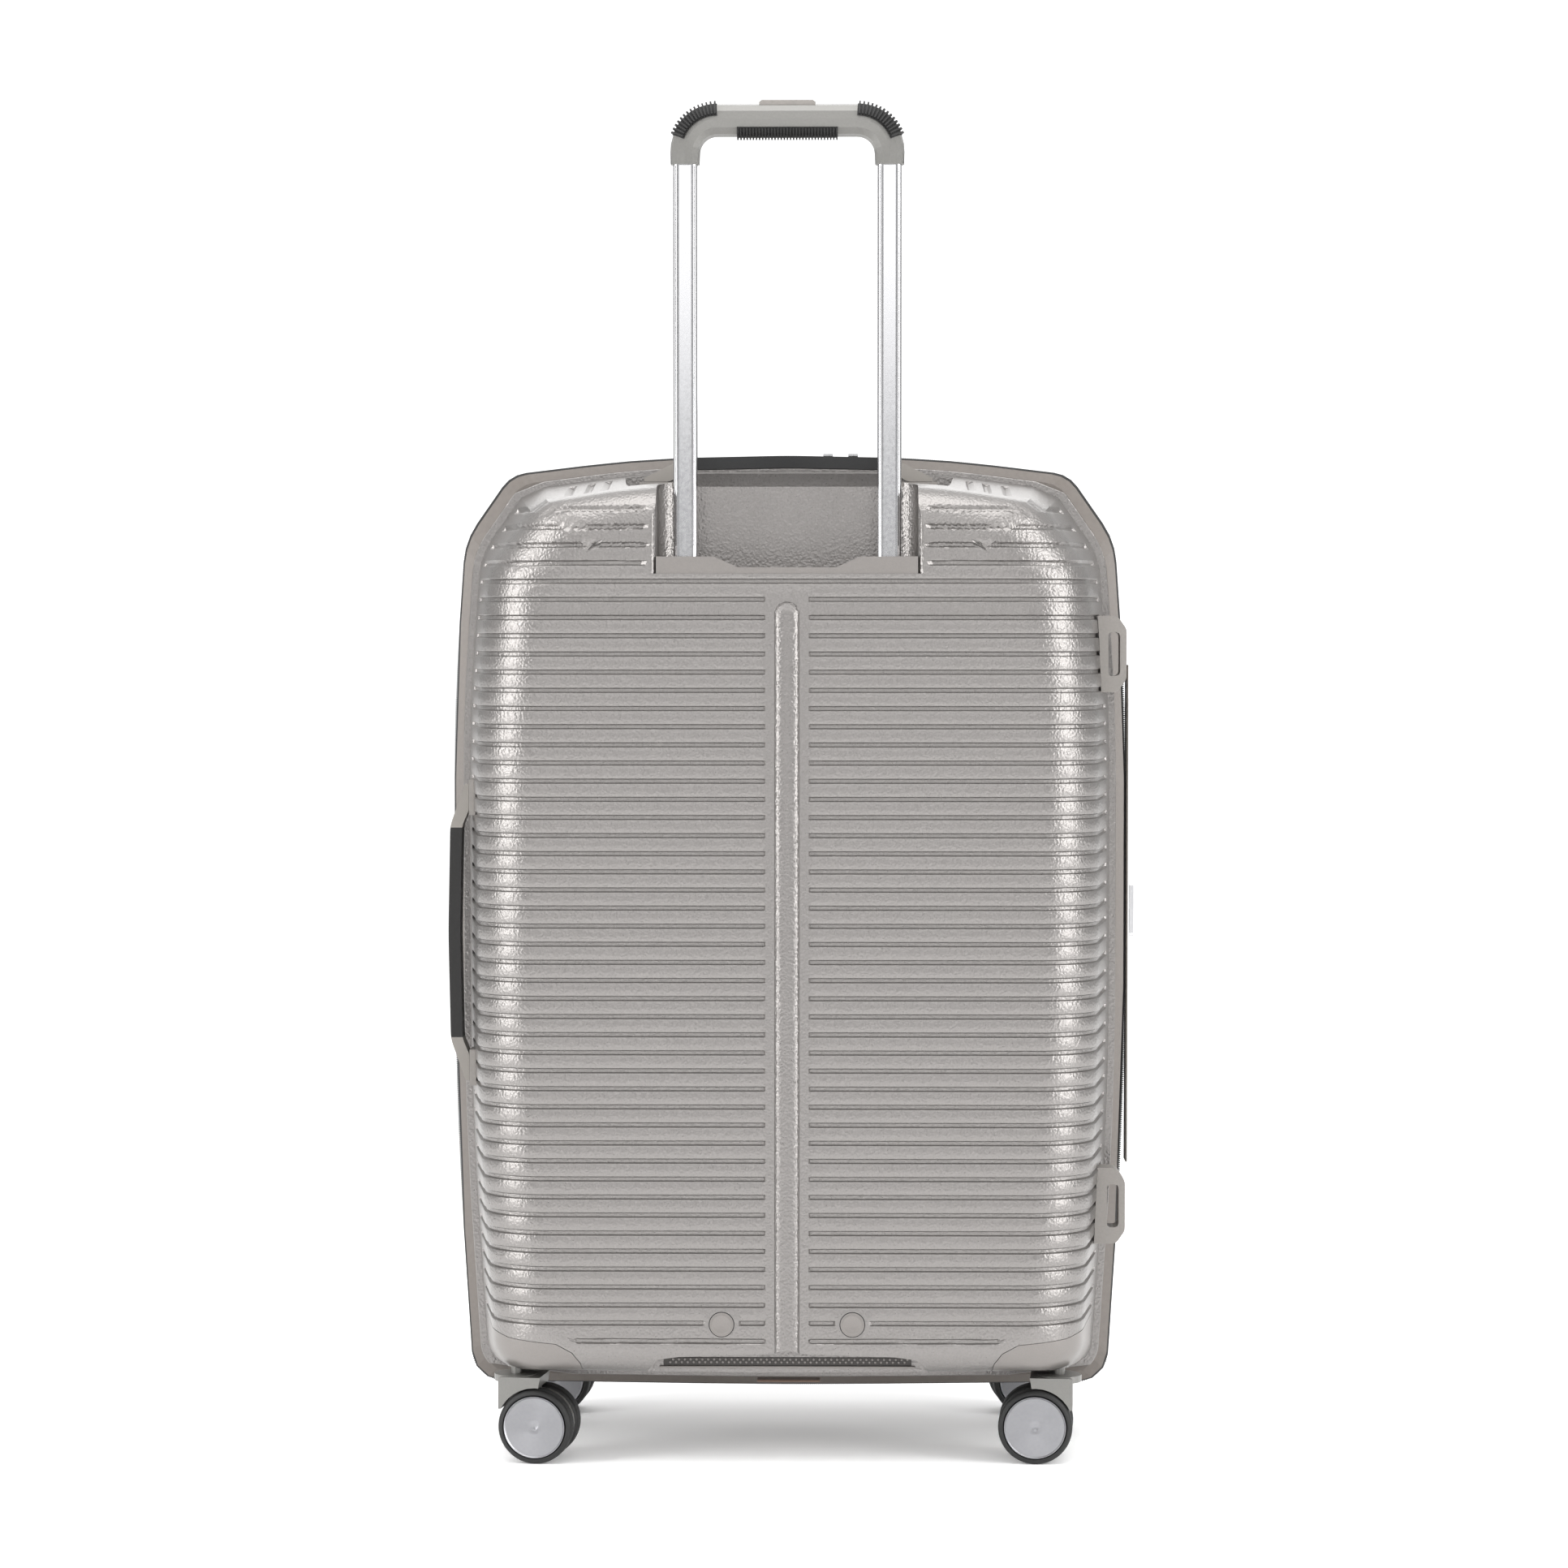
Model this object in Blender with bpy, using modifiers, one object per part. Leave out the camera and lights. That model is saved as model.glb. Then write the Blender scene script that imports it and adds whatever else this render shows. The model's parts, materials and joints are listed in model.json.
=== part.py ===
"""Hard shell spinner suitcase: two moulded half shells that open on a fabric hinge, an
expander frame between them, a telescopic trolley handle, two carry handles and four
swivelling twin-wheel casters.

Metres, +Z up. The origin is on the floor under the middle of the case. The half with the
trolley is at -Y, the half with the lock at +Y. The hinge and the side feet are at +X.
"""

import math

import bmesh
import bpy
from mathutils import Matrix, Vector

# ---- Overall sizes -------------------------------------------------------------------
RIM_HALF_WIDTH = 0.260
RIM_BOTTOM = 0.0395
RIM_TOP = 0.7605
HALF_DEPTH = 0.150
FACE_SIDE_INSET = 0.0310      # how far each face is drawn in from the rim
FACE_TOP_INSET = 0.0280
FACE_BOTTOM_INSET = 0.0333
FOOT_SIDE_INSET = 0.0134      # how far the shell wall is drawn in at the foot of its lip
FOOT_TOP_INSET = 0.0120
FOOT_BOTTOM_INSET = 0.0134
SIDE_EDGE_RADIUS = 0.042
TOP_EDGE_RADIUS = 0.025
BOTTOM_EDGE_RADIUS = 0.018

# Outline of the case seen from behind: a bulging side, a sloping shoulder, a small
# bottom corner.
SIDE_BULGE_LOW = 0.0135
SIDE_BULGE_HIGH = 0.0085
SHOULDER_DROP = 0.0645
SHOULDER_WIDTH = 0.0442
SHOULDER_RISE = 0.0133
BOTTOM_CROWN = 0.0030
BULGE_LOW_SHARE = 0.30        # heights of the bulge's two ends, as shares of the height
BULGE_HIGH_SHARE = 0.74
TOP_ARCH_HALF = 0.1055        # the flattened arch across the top
TOP_ARCH_RADIUS = 1.75

# ---- Walls and clearances ------------------------------------------------------------
WALL = 0.0025
LINING_THICKNESS = 0.0015
LINING_GAP = 0.0012           # between a shell and its lining
GAP = 0.0003
SLIDE_GAP = 0.0006
PAST = 0.004                  # how far a cutter runs past what it cuts

# ---- Bands round the opening, as distances from the middle of the case ---------------
LIP_END = 0.0160
LIP_START = 0.0220
LIP_INSET = 0.0085
PIPING_END = 0.0085
PIPING_CREST = 0.0125         # the piping is full from here to its end
PIPING_INSET = 0.0018
PIPING_FOOT_INSET = 0.0080
TAPE_INSET = 0.0022
TEETH_OUTER = 0.0066
TEETH_INNER = 0.0046
TEETH_INSET = 0.0002
ZIP_OUTER = 0.0082
ZIP_INNER = 0.0030
BAND_HALF = 0.0027
BAND_INNER_INSET = 0.0120
GUSSET_DEPTH = 0.0400
GUSSET_INSET = 0.0250
GUSSET_TOP_INSET = 0.0350
GUSSET_THICKNESS = 0.0012

# ---- Hinge ---------------------------------------------------------------------------
HINGE_X = RIM_HALF_WIDTH + 0.0090    # the fabric folds clear of the feet and the zip pull
HINGE_Y = (BAND_HALF + ZIP_INNER) / 2
HINGE_STRIP_THICKNESS = 0.0012
HINGE_STRIP_OUT = 0.0016      # from the rim's widest point to the strip's outer face
HINGE_STRIP_LOW = RIM_BOTTOM + 0.1755
HINGE_STRIP_HIGH = RIM_TOP - 0.1605

# ---- Trolley handle ------------------------------------------------------------------
RECESS_HALF_WIDTH = 0.0975
RECESS_DEPTH = 0.050
RECESS_FLOOR = RIM_TOP - 0.0915
RECESS_CORNER = 0.018
TUBE_X = 0.0760
TUBE_Y = 0.0235 - HALF_DEPTH
INNER_TUBE_WIDTH = 0.0180
INNER_TUBE_DEPTH = 0.0130
OUTER_TUBE_WIDTH = 0.0224
OUTER_TUBE_DEPTH = 0.0174
TUBE_WALL = 0.0012
OUTER_TUBE_BOTTOM = RIM_BOTTOM + 0.0615
INNER_TUBE_LENGTH = 0.3650
BEZEL_HEIGHT = 0.0130
BEZEL_DIP = 0.0080
BEZEL_DIP_HALF = 0.0365
BEZEL_SLOPE_HALF = 0.0545
GRIP_BAR_Z = RIM_TOP + 0.2455
GRIP_BAR_RADIUS = 0.0122
GRIP_LEG_SCALE = 0.88
GRIP_LEG_BOTTOM = GRIP_BAR_Z - 0.0330
GRIP_BEND_RADIUS = 0.024
SOCKET_DEPTH = 0.0120
PAD_THICKNESS = 0.0020
PALM_PAD_HALF = 0.0373
CORNER_PAD_ANGLES = (22.0, 88.0)
CORNER_PAD_WRAP = 0.0040      # how far past the bend's centre line the pad reaches round
CORNER_PAD_HALF = 0.0125
PALM_PAD_TOP_DROP = 0.0060    # the pad's upper edge below the middle of the bar
BUTTON_HALF_LENGTH = 0.0210
BUTTON_HALF_DEPTH = 0.0045
BUTTON_PROUD = 0.0026
BUTTON_TRAVEL = 0.0030
YOKE_HALF_DEPTH = 0.0030
YOKE_HEIGHT = 0.0050
YOKE_LOW = GRIP_BAR_Z - 0.0060
ROD_X = TUBE_X - 0.0045
ROD_RADIUS = 0.0016
ROD_BOTTOM = RECESS_FLOOR - 0.0090
BRACKET_HEIGHT = 0.0280
BRACKET_SIDE = 0.0050
PLUG_X = 0.0488
PLUG_Z = RIM_BOTTOM + 0.0701
PLUG_RADIUS = 0.0090
PLUG_PROUD = 0.0008
PLUG_SHANK = 0.0040
LINING_FLOOR_BACK = 0.0350
LINING_EDGE_RADIUS = 0.014

# ---- Top and side carry handles ------------------------------------------------------
SCOOP_HALF_WIDTH = 0.1215
SCOOP_FLOOR = RIM_TOP - 0.0255
SCOOP_NEAR = HALF_DEPTH - 0.0480
SCOOP_FAR = 0.0340
TOP_HANDLE_Y = -(SCOOP_NEAR + SCOOP_FAR) / 2 - 0.0020
TOP_HANDLE_HALF_LENGTH = 0.1090
TOP_HANDLE_RISE = 0.0240
SIDE_HANDLE_Y = -0.0620
SIDE_HANDLE_Z = (RIM_BOTTOM + RIM_TOP) / 2 - 0.0030
SIDE_HANDLE_HALF_LENGTH = 0.1130
SIDE_HANDLE_REACH = RIM_HALF_WIDTH - 0.0010
HANDLE_THICKNESS = 0.0090
HANDLE_END_THICKNESS = 0.0028
HANDLE_HALF_DEPTH = 0.0110
HANDLE_FLAT_SHARE = 0.72      # share of the length that carries the hand
HANDLE_TRAVEL = 0.0120
POST_INSET = 0.0100           # from the handle's end to the middle of its post
POST_HALF = 0.0040
CUP_WALL = 0.0020
CUP_DEPTH = 0.0160
PLATE_HALF_LENGTH = 0.0135
PLATE_HALF_DEPTH = 0.0130
PLATE_THICKNESS = 0.0038

# ---- Side feet -----------------------------------------------------------------------
FOOT_HEIGHTS = (RIM_BOTTOM + 0.1495, RIM_TOP - 0.1515)
FOOT_HALF_HEIGHT = 0.0290
FOOT_REACH = RIM_HALF_WIDTH - 0.0037
FOOT_Y = 0.0620
FOOT_HALF_DEPTH = 0.0120
FOOT_BAR = 0.0048
FOOT_WINDOW_HALF = 0.0165

# ---- Bottom grip ---------------------------------------------------------------------
BOTTOM_GRIP_HALF = 0.1060
BOTTOM_GRIP_TOP = RIM_BOTTOM + 0.0460
BOTTOM_GRIP_DEPTH = 0.0220
BOTTOM_GRIP_LOW = RIM_BOTTOM + 0.0205

# ---- Casters -------------------------------------------------------------------------
CASTER_X = RIM_HALF_WIDTH - 0.0545
CASTER_Y = HALF_DEPTH - 0.0450
WHEEL_RADIUS = 0.0280
WHEEL_WIDTH = 0.0165
WHEEL_GAP = 0.0100            # between the two wheels of a caster
WHEEL_CORNER = 0.0030
TRAIL = 0.0180
AXLE_RADIUS = 0.0025
HUB_CAP_THICKNESS = 0.0016
FORK_TOP = RIM_BOTTOM + 0.0260
FORK_PLATE = 0.0050
FORK_HALF_WIDTH = 0.0190
FORK_OUT = 0.0100
FORK_TIP = 0.0410
FORK_WHEEL_GAP = 0.0012
WEB_HALF = 0.0040
WEB_RADIUS = 0.0262
WEB_LOW = 0.0190              # the web between the wheels is cut off level here
TURNTABLE_RADIUS = 0.0165
STEM_RADIUS = 0.0040
STEM_HEAD_RADIUS = 0.0065
STEM_HEAD_HEIGHT = 0.0035
HOUSING_FLOOR = 0.0045
SEAT_RADIUS = 0.0195          # the round pad that the turntable turns under
HOUSING_WALL = 0.0030
HOUSING_EDGE_X = RIM_HALF_WIDTH - 0.1060
HOUSING_TOP_Z = RIM_BOTTOM + 0.0530
HOUSING_TOP_RISE = 0.0080
HOUSING_CORNER = 0.0140
HOUSING_LEAN = 0.0060
HOUSING_END = 0.0460
HOUSING_MOUTH_IN = 0.0360     # the housing's open top, from the stem towards the middle
HOUSING_MOUTH_OUT = 0.0120
HOUSING_MOUTH_HALF = 0.0360
CASTER_TURN = {"back_left": -8.0, "back_right": -4.0, "front_left": -5.0, "front_right": 6.0}

# ---- Lock and zip pulls --------------------------------------------------------------
LOCK_X = 0.0400
LOCK_HALF_LENGTH = 0.0290
LOCK_Y = 0.0475
LOCK_HALF_WIDTH = 0.0120
LOCK_TOP = RIM_TOP - 0.0105
LOCK_HEIGHT = 0.0130
DIAL_RADIUS = 0.0055
DIAL_WIDTH = 0.0042
DIAL_PITCH = 0.0080
DIAL_PROUD = 0.0018
DIAL_FIRST_X = -0.0180        # first dial, from the middle of the lock
LOCK_BUTTON_X = 0.0170
LOCK_BUTTON_HALF = 0.0045
LOCK_BUTTON_PROUD = 0.0012
PULL_XS = (0.0296, 0.0490)
PULL_WIDTH = 0.0075
PULL_LENGTH = 0.0340
PULL_THICKNESS = 0.0016
PULL_DROP = 0.0110            # fall of a zip pull from its pivot to its tip
EXPANSION_PULL_Z = 0.4290
EXPANSION_PULL_Y = -0.0056
EXPANSION_PULL_LENGTH = 0.0390
EXPANSION_PULL_WIDTH = 0.0060
EXPANSION_PULL_OUT = 0.0030   # from the hinge strip's face to the pull's middle

ARC_STEPS = 3
ROUND_SIDES = 32
WHEEL_STEPS = 24


# ---- Scene, materials and small helpers ----------------------------------------------
for old in list(bpy.data.objects):
    bpy.data.objects.remove(old, do_unlink=True)

PARTS = bpy.data.collections.new("hard_shell_suitcase")
CUTTERS = bpy.data.collections.new("cutters")
for collection in (PARTS, CUTTERS):
    bpy.context.scene.collection.children.link(collection)


def make_material(name, color, roughness, metallic=0.0):
    """A Principled material with one colour."""
    made = bpy.data.materials.new(name)
    made.use_nodes = True
    shader = made.node_tree.nodes["Principled BSDF"]
    shader.inputs["Base Color"].default_value = (*color, 1.0)
    shader.inputs["Roughness"].default_value = roughness
    shader.inputs["Metallic"].default_value = metallic
    made.diffuse_color = (*color, 1.0)
    return made


def scene_object(name, mesh, collection=PARTS):
    """Link a mesh to the scene as an object."""
    made = bpy.data.objects.new(name, mesh)
    collection.objects.link(made)
    return made


def bmesh_object(name, shape, collection=PARTS):
    """Turn a bmesh into an object, with its faces turned outwards."""
    bmesh.ops.recalc_face_normals(shape, faces=shape.faces)
    mesh = bpy.data.meshes.new(name)
    shape.to_mesh(mesh)
    shape.free()
    return scene_object(name, mesh, collection)


def as_cutter(made):
    """Mark an object as a tool that shapes others and is not built itself."""
    for collection in list(made.users_collection):
        collection.objects.unlink(made)
    CUTTERS.objects.link(made)
    made.display_type = "WIRE"
    made.hide_render = True
    return made


def boolean(target, tool, operation="DIFFERENCE"):
    """Shape the target with the tool by a Boolean modifier."""
    modifier = target.modifiers.new(tool.name, "BOOLEAN")
    modifier.operation = operation
    modifier.object = tool
    modifier.solver = "EXACT"


def combine(target, tools, operation):
    """Shape the target with each of the tools in turn."""
    for tool in tools:
        boolean(target, as_cutter(tool), operation)


def finish(made, color, roughness=0.5, metallic=0.0):
    """Give a part its own material and smooth shading with sharp edges kept."""
    made.data.materials.clear()
    made.data.materials.append(make_material(made.name, color, roughness, metallic))
    made.data.shade_smooth()
    made.data.set_sharp_from_angle(angle=math.radians(35))
    return made


def baked_mesh(made, name):
    """The mesh of an object with its modifiers applied, in world space."""
    bpy.context.view_layer.update()
    evaluated = made.evaluated_get(bpy.context.evaluated_depsgraph_get())
    mesh = bpy.data.meshes.new_from_object(evaluated)
    mesh.transform(made.matrix_world)
    mesh.name = name
    return mesh


def weld(mesh, distance=0.00001):
    """Join the loose ends and caps of a mesh."""
    shape = bmesh.new()
    shape.from_mesh(mesh)
    bmesh.ops.remove_doubles(shape, verts=shape.verts, dist=distance)
    bmesh.ops.recalc_face_normals(shape, faces=shape.faces)
    shape.to_mesh(mesh)
    shape.free()
    return mesh


def carry(made, empty):
    """Parent an object to a joint's empty, and leave it where it is in the world."""
    bpy.context.view_layer.update()
    made.parent = empty
    made.matrix_parent_inverse = empty.matrix_world.inverted()
    return made


def joint_empty(name, location, turn=0.0, parent=None):
    """An empty on a joint's axis, which carries the pieces that move with it."""
    made = bpy.data.objects.new(name, None)
    made.empty_display_size = 0.02
    PARTS.objects.link(made)
    made.location = location
    made.rotation_euler = (0.0, 0.0, math.radians(turn))
    if parent:
        carry(made, parent)
    return made


# ---- Basic solids --------------------------------------------------------------------
def box(name, low, high):
    """A box between two corners."""
    shape = bmesh.new()
    bmesh.ops.create_cube(shape, size=1.0)
    low, high = Vector(low), Vector(high)
    size = high - low
    bmesh.ops.scale(shape, vec=size, verts=shape.verts)
    bmesh.ops.translate(shape, vec=(low + high) / 2, verts=shape.verts)
    return bmesh_object(name, shape)


def cylinder(name, radius, start, end, sides=ROUND_SIDES):
    """A capped cylinder from one point to another."""
    start, end = Vector(start), Vector(end)
    along = end - start
    turn = Vector((0, 0, 1)).rotation_difference(along.normalized()).to_matrix().to_4x4()
    shape = bmesh.new()
    bmesh.ops.create_cone(shape, cap_ends=True, segments=sides, radius1=radius,
                          radius2=radius, depth=along.length,
                          matrix=Matrix.Translation((start + end) / 2) @ turn)
    return bmesh_object(name, shape)


def rounded(corners):
    """Points of a closed outline from corners given as (u, v, radius, steps)."""
    points = []
    for place, (u, v, radius, steps) in enumerate(corners):
        here = Vector((u, v))
        before = Vector(corners[place - 1][:2]) - here
        after = Vector(corners[(place + 1) % len(corners)][:2]) - here
        if radius <= 0:
            points.append(here)
            continue
        half = before.angle(after) / 2
        shares = [0.49 if corners[near % len(corners)][2] > 0 else 0.98
                  for near in (place - 1, place + 1)]
        reach = min(radius / math.tan(half), shares[0] * before.length,
                    shares[1] * after.length)
        radius = reach * math.tan(half)
        middle = here + (before.normalized() + after.normalized()).normalized() * (
            radius / math.sin(half))
        first = here + before.normalized() * reach - middle
        sweep = first.angle_signed(here + after.normalized() * reach - middle)
        for step in range(steps + 1):
            points.append(middle + Matrix.Rotation(-sweep * step / steps, 2) @ first)
    return points


def prism(name, outline, axis, low, high):
    """An outline extruded along an axis. Its u and v are the other two axes in order."""
    places = {"X": lambda u, v: (low, u, v), "Y": lambda u, v: (u, low, v),
              "Z": lambda u, v: (u, v, low)}
    shape = bmesh.new()
    corners = [shape.verts.new(places[axis](u, v)) for u, v in outline]
    face = shape.faces.new(corners)
    grown = bmesh.ops.extrude_face_region(shape, geom=[face])
    moved = [item for item in grown["geom"] if isinstance(item, bmesh.types.BMVert)]
    way = Vector([high - low if letter == axis else 0.0 for letter in "XYZ"])
    bmesh.ops.translate(shape, vec=way, verts=moved)
    return bmesh_object(name, shape)


def rounded_rectangle(width, depth, radius, middle=(0.0, 0.0), steps=4):
    """Outline of a rectangle with round corners."""
    u, v = width / 2, depth / 2
    corners = [(-u, -v), (u, -v), (u, v), (-u, v)]
    return rounded([(middle[0] + a, middle[1] + b, radius, steps) for a, b in corners])


def loft(name, loops, closed):
    """Skin a row of matching loops. A closed row joins its end to its start."""
    shape = bmesh.new()
    rows = [[shape.verts.new(point) for point in loop] for loop in loops]
    pairs = list(zip(rows, rows[1:])) + ([(rows[-1], rows[0])] if closed else [])
    for one, two in pairs:
        count = len(one)
        for place in range(count):
            after = (place + 1) % count
            shape.faces.new((one[place], one[after], two[after], two[place]))
    if not closed:
        shape.faces.new(rows[0])
        shape.faces.new(rows[-1])
    return bmesh_object(name, shape)


# ---- The case's own outline ----------------------------------------------------------
WALL_INSETS = ((FACE_SIDE_INSET, FOOT_SIDE_INSET), (FACE_BOTTOM_INSET, FOOT_BOTTOM_INSET),
               (FACE_TOP_INSET, FOOT_TOP_INSET))


def case_outline(side_inset, bottom_inset, top_inset):
    """The case's outline in x and z, drawn in from the rim by three amounts."""
    wide = RIM_HALF_WIDTH - side_inset
    low = RIM_BOTTOM + bottom_inset
    high = RIM_TOP - top_inset
    tall = high - low
    right = [
        (wide - SIDE_BULGE_LOW, low + BOTTOM_CROWN, 0.024, ARC_STEPS),
        (wide, low + BULGE_LOW_SHARE * tall, 3.0, 1),
        (wide, low + BULGE_HIGH_SHARE * tall, 3.0, 1),
        (wide - SIDE_BULGE_HIGH, high - SHOULDER_DROP, 0.060, 3),
        (wide - SHOULDER_WIDTH, high - SHOULDER_RISE, 0.026, 3),
        (TOP_ARCH_HALF, high, TOP_ARCH_RADIUS, 3),
    ]
    left = [(-x, z, radius, steps) for x, z, radius, steps in reversed(right)]
    return rounded([(0.0, low, 6.0, 2)] + right + left)


def edge_inset(depth, radius):
    """How far a rounded edge is drawn in at a depth below the face it rounds."""
    if depth >= radius:
        return 0.0
    return radius - math.sqrt(radius * radius - (radius - depth) ** 2)


def wall_loop(side, depth, inset, floor, radii):
    """One loop of a tray's wall, at a depth in from the outer face of the case."""
    share = depth / (HALF_DEPTH - LIP_START)
    amounts = []
    for (face_inset, foot_inset), radius in zip(WALL_INSETS, radii):
        drawn_in = face_inset + (foot_inset - face_inset) * share
        amounts.append(drawn_in + inset + edge_inset(depth - floor, radius))
    y = side * (HALF_DEPTH - depth)
    return [Vector((x, y, z)) for x, z in case_outline(*amounts)]


def tray(name, side, inset, floor, radii, end, lip=False, turn_step=18):
    """A solid with the shape of a half case, drawn in by inset, from its floor to its end.

    side is -1 for the trolley half and 1 for the lock half; end is the distance from the
    middle of the case. turn_step is the angle between the loops round the face's edge.
    """
    widest = max(radii)
    depths = [floor + widest * (1 - math.cos(math.radians(angle)))
              for angle in range(0, 91, turn_step)]
    foot = HALF_DEPTH - (LIP_START if lip else end)
    depths.append(foot)
    loops = [wall_loop(side, depth, inset, floor, radii) for depth in depths]
    if lip:
        for distance in (LIP_START, LIP_END):
            outline = case_outline(LIP_INSET, LIP_INSET, LIP_INSET)
            loops.append([Vector((x, side * distance, z)) for x, z in outline])
    return loft(name, loops, closed=False)


def ring(name, profile):
    """A band round the case from a closed profile of (y, inset, top inset) corners."""
    loops = []
    for y, inset, top_inset in profile:
        outline = case_outline(inset, inset, top_inset)
        loops.append([Vector((x, y, z)) for x, z in outline])
    return loft(name, loops, closed=True)


# ---- Pockets sunk into the shells ----------------------------------------------------
# Each takes grow, so that the same pocket cuts the outside, the inside and the lining.
def recess_pocket(name, grow):
    """The well for the trolley grip, open at the back and the top."""
    wide = RECESS_HALF_WIDTH + grow
    inner = -HALF_DEPTH + RECESS_DEPTH + grow
    outer = -HALF_DEPTH - PAST
    outline = rounded([(-wide, outer, 0, 0), (wide, outer, 0, 0),
                       (wide, inner, RECESS_CORNER + grow, ARC_STEPS),
                       (-wide, inner, RECESS_CORNER + grow, ARC_STEPS)])
    return prism(name, outline, "Z", RECESS_FLOOR - grow, RIM_TOP + PAST + grow)


def scoop_pocket(name, grow):
    """The flat seat of the top handle."""
    return box(name, (-SCOOP_HALF_WIDTH - grow, -SCOOP_NEAR - grow, SCOOP_FLOOR - grow),
               (SCOOP_HALF_WIDTH + grow, -SCOOP_FAR + grow, RIM_TOP + 2 * PAST + grow))


def housing_outline(mirror, grow):
    """Outline of a caster housing in x and z, running past the case outside."""
    far = RIM_HALF_WIDTH + 4 * PAST
    corners = [(far, 0.0, 0, 0), (far, HOUSING_TOP_Z + HOUSING_TOP_RISE + grow, 0, 0),
               (HOUSING_EDGE_X + HOUSING_LEAN - grow, HOUSING_TOP_Z + grow,
                HOUSING_CORNER + max(grow, 0), 4),
               (HOUSING_EDGE_X - grow, 0.0, 0, 0)]
    if mirror < 0:
        corners = [(-x, z, radius, steps) for x, z, radius, steps in reversed(corners)]
    return rounded(corners)


def corner_pocket(name, side, mirror, grow):
    """The notch in a bottom corner that a caster housing fills."""
    near, far = sorted((side * (HALF_DEPTH + 2 * PAST), side * (HOUSING_END - grow)))
    return prism(name, housing_outline(mirror, grow), "Y", near, far)


def bottom_grip_pocket(name, grow):
    """The sloping hand hold along the bottom edge of the back."""
    outer = -HALF_DEPTH - 2 * PAST
    slope = (BOTTOM_GRIP_TOP - BOTTOM_GRIP_LOW) / BOTTOM_GRIP_DEPTH
    rise = slope * 2 * PAST
    lift = grow * math.hypot(1.0, slope)
    low = RIM_BOTTOM - PAST
    back = -HALF_DEPTH + BOTTOM_GRIP_DEPTH + (BOTTOM_GRIP_LOW - low) / slope
    outline = [(outer, low), (back + grow, low), (outer, BOTTOM_GRIP_TOP + rise + lift)]
    if grow:
        outline[1] = (back + lift / slope, low)
    return prism(name, outline, "X", -BOTTOM_GRIP_HALF - grow, BOTTOM_GRIP_HALF + grow)


def lock_pocket(name, grow):
    """The seat of the lock in the top of the front half."""
    space = GAP + grow
    return box(name, (LOCK_X - LOCK_HALF_LENGTH - space, LOCK_Y - LOCK_HALF_WIDTH - space,
                      LOCK_TOP - LOCK_HEIGHT - space),
               (LOCK_X + LOCK_HALF_LENGTH + space, LOCK_Y + LOCK_HALF_WIDTH + space,
                RIM_TOP + PAST + grow))


def cup_box(name, middle, axis, start, grow, reach):
    """A box about a handle's cup. axis is X or Z, and the cup sinks from start to reach."""
    half = POST_HALF + GAP + CUP_WALL + grow
    low, high = sorted((start, reach))
    if axis == "Z":
        return box(name, (middle[0] - half, middle[1] - half, low),
                   (middle[0] + half, middle[1] + half, high))
    return box(name, (low, middle[1] - half, middle[2] - half),
               (high, middle[1] + half, middle[2] + half))


def top_post(mirror):
    """Middle of a top handle post."""
    return Vector((mirror * (TOP_HANDLE_HALF_LENGTH - POST_INSET), TOP_HANDLE_Y, SCOOP_FLOOR))


def side_plate_x():
    """Outer face of the side handle's plates: proud of the wall there."""
    wall = wall_half_width(SIDE_HANDLE_Y)
    return -(wall + PLATE_THICKNESS / 2)


def wall_half_width(y):
    """Half the width of a shell at its widest, at a distance y from the middle."""
    share = (HALF_DEPTH - abs(y)) / (HALF_DEPTH - LIP_START)
    return RIM_HALF_WIDTH - FACE_SIDE_INSET - (FOOT_SIDE_INSET - FACE_SIDE_INSET) * share


def side_post(mirror):
    """Middle of a side handle post, at the plate's outer face."""
    away = SIDE_HANDLE_HALF_LENGTH - POST_INSET
    return Vector((side_plate_x(), SIDE_HANDLE_Y, SIDE_HANDLE_Z + mirror * away))


def cup_pockets(name, grow):
    """Room in the back half for the four cups of the carry handles."""
    made = []
    for mirror in (-1, 1):
        post = top_post(mirror)
        made.append(cup_box(f"{name}_top_{mirror}", post, "Z", post.z + PAST + grow, grow,
                            post.z - CUP_DEPTH - grow))
        post = side_post(mirror)
        made.append(cup_box(f"{name}_side_{mirror}", post, "X", post.x - PAST - grow, grow,
                            post.x + CUP_DEPTH + PLATE_THICKNESS + grow))
        made.append(box(f"{name}_plate_{mirror}", *side_plate_corners(mirror, grow)))
    return made


def shell_pockets(name, side, grow):
    """All the pockets of one half, grown by grow."""
    made = [corner_pocket(f"{name}_corner_{mirror}", side, mirror, grow)
            for mirror in (-1, 1)]
    if side < 0:
        made += [recess_pocket(f"{name}_recess", grow), scoop_pocket(f"{name}_scoop", grow),
                 bottom_grip_pocket(f"{name}_grip", grow)]
    else:
        made.append(lock_pocket(f"{name}_lock", grow))
    return made


EDGE_RADII = (SIDE_EDGE_RADIUS, BOTTOM_EDGE_RADIUS, TOP_EDGE_RADIUS)
INNER_RADII = tuple(radius - WALL for radius in EDGE_RADII)
BACK_LINING_RADII = (LINING_EDGE_RADIUS,) * 3
FRONT_LINING_RADII = tuple(radius - WALL - LINING_GAP for radius in EDGE_RADII)
SHELL_TAUPE = (0.36, 0.335, 0.325)
HOUSING_TAUPE = (0.33, 0.31, 0.29)
BAND_GREY = (0.18, 0.17, 0.16)
PIPING_GREY = (0.46, 0.44, 0.43)
ZIP_BLACK = (0.02, 0.02, 0.02)
RUBBER_BLACK = (0.015, 0.015, 0.015)
METAL_SILVER = (0.80, 0.80, 0.82)
LINING_GREY = (0.09, 0.09, 0.10)


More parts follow.
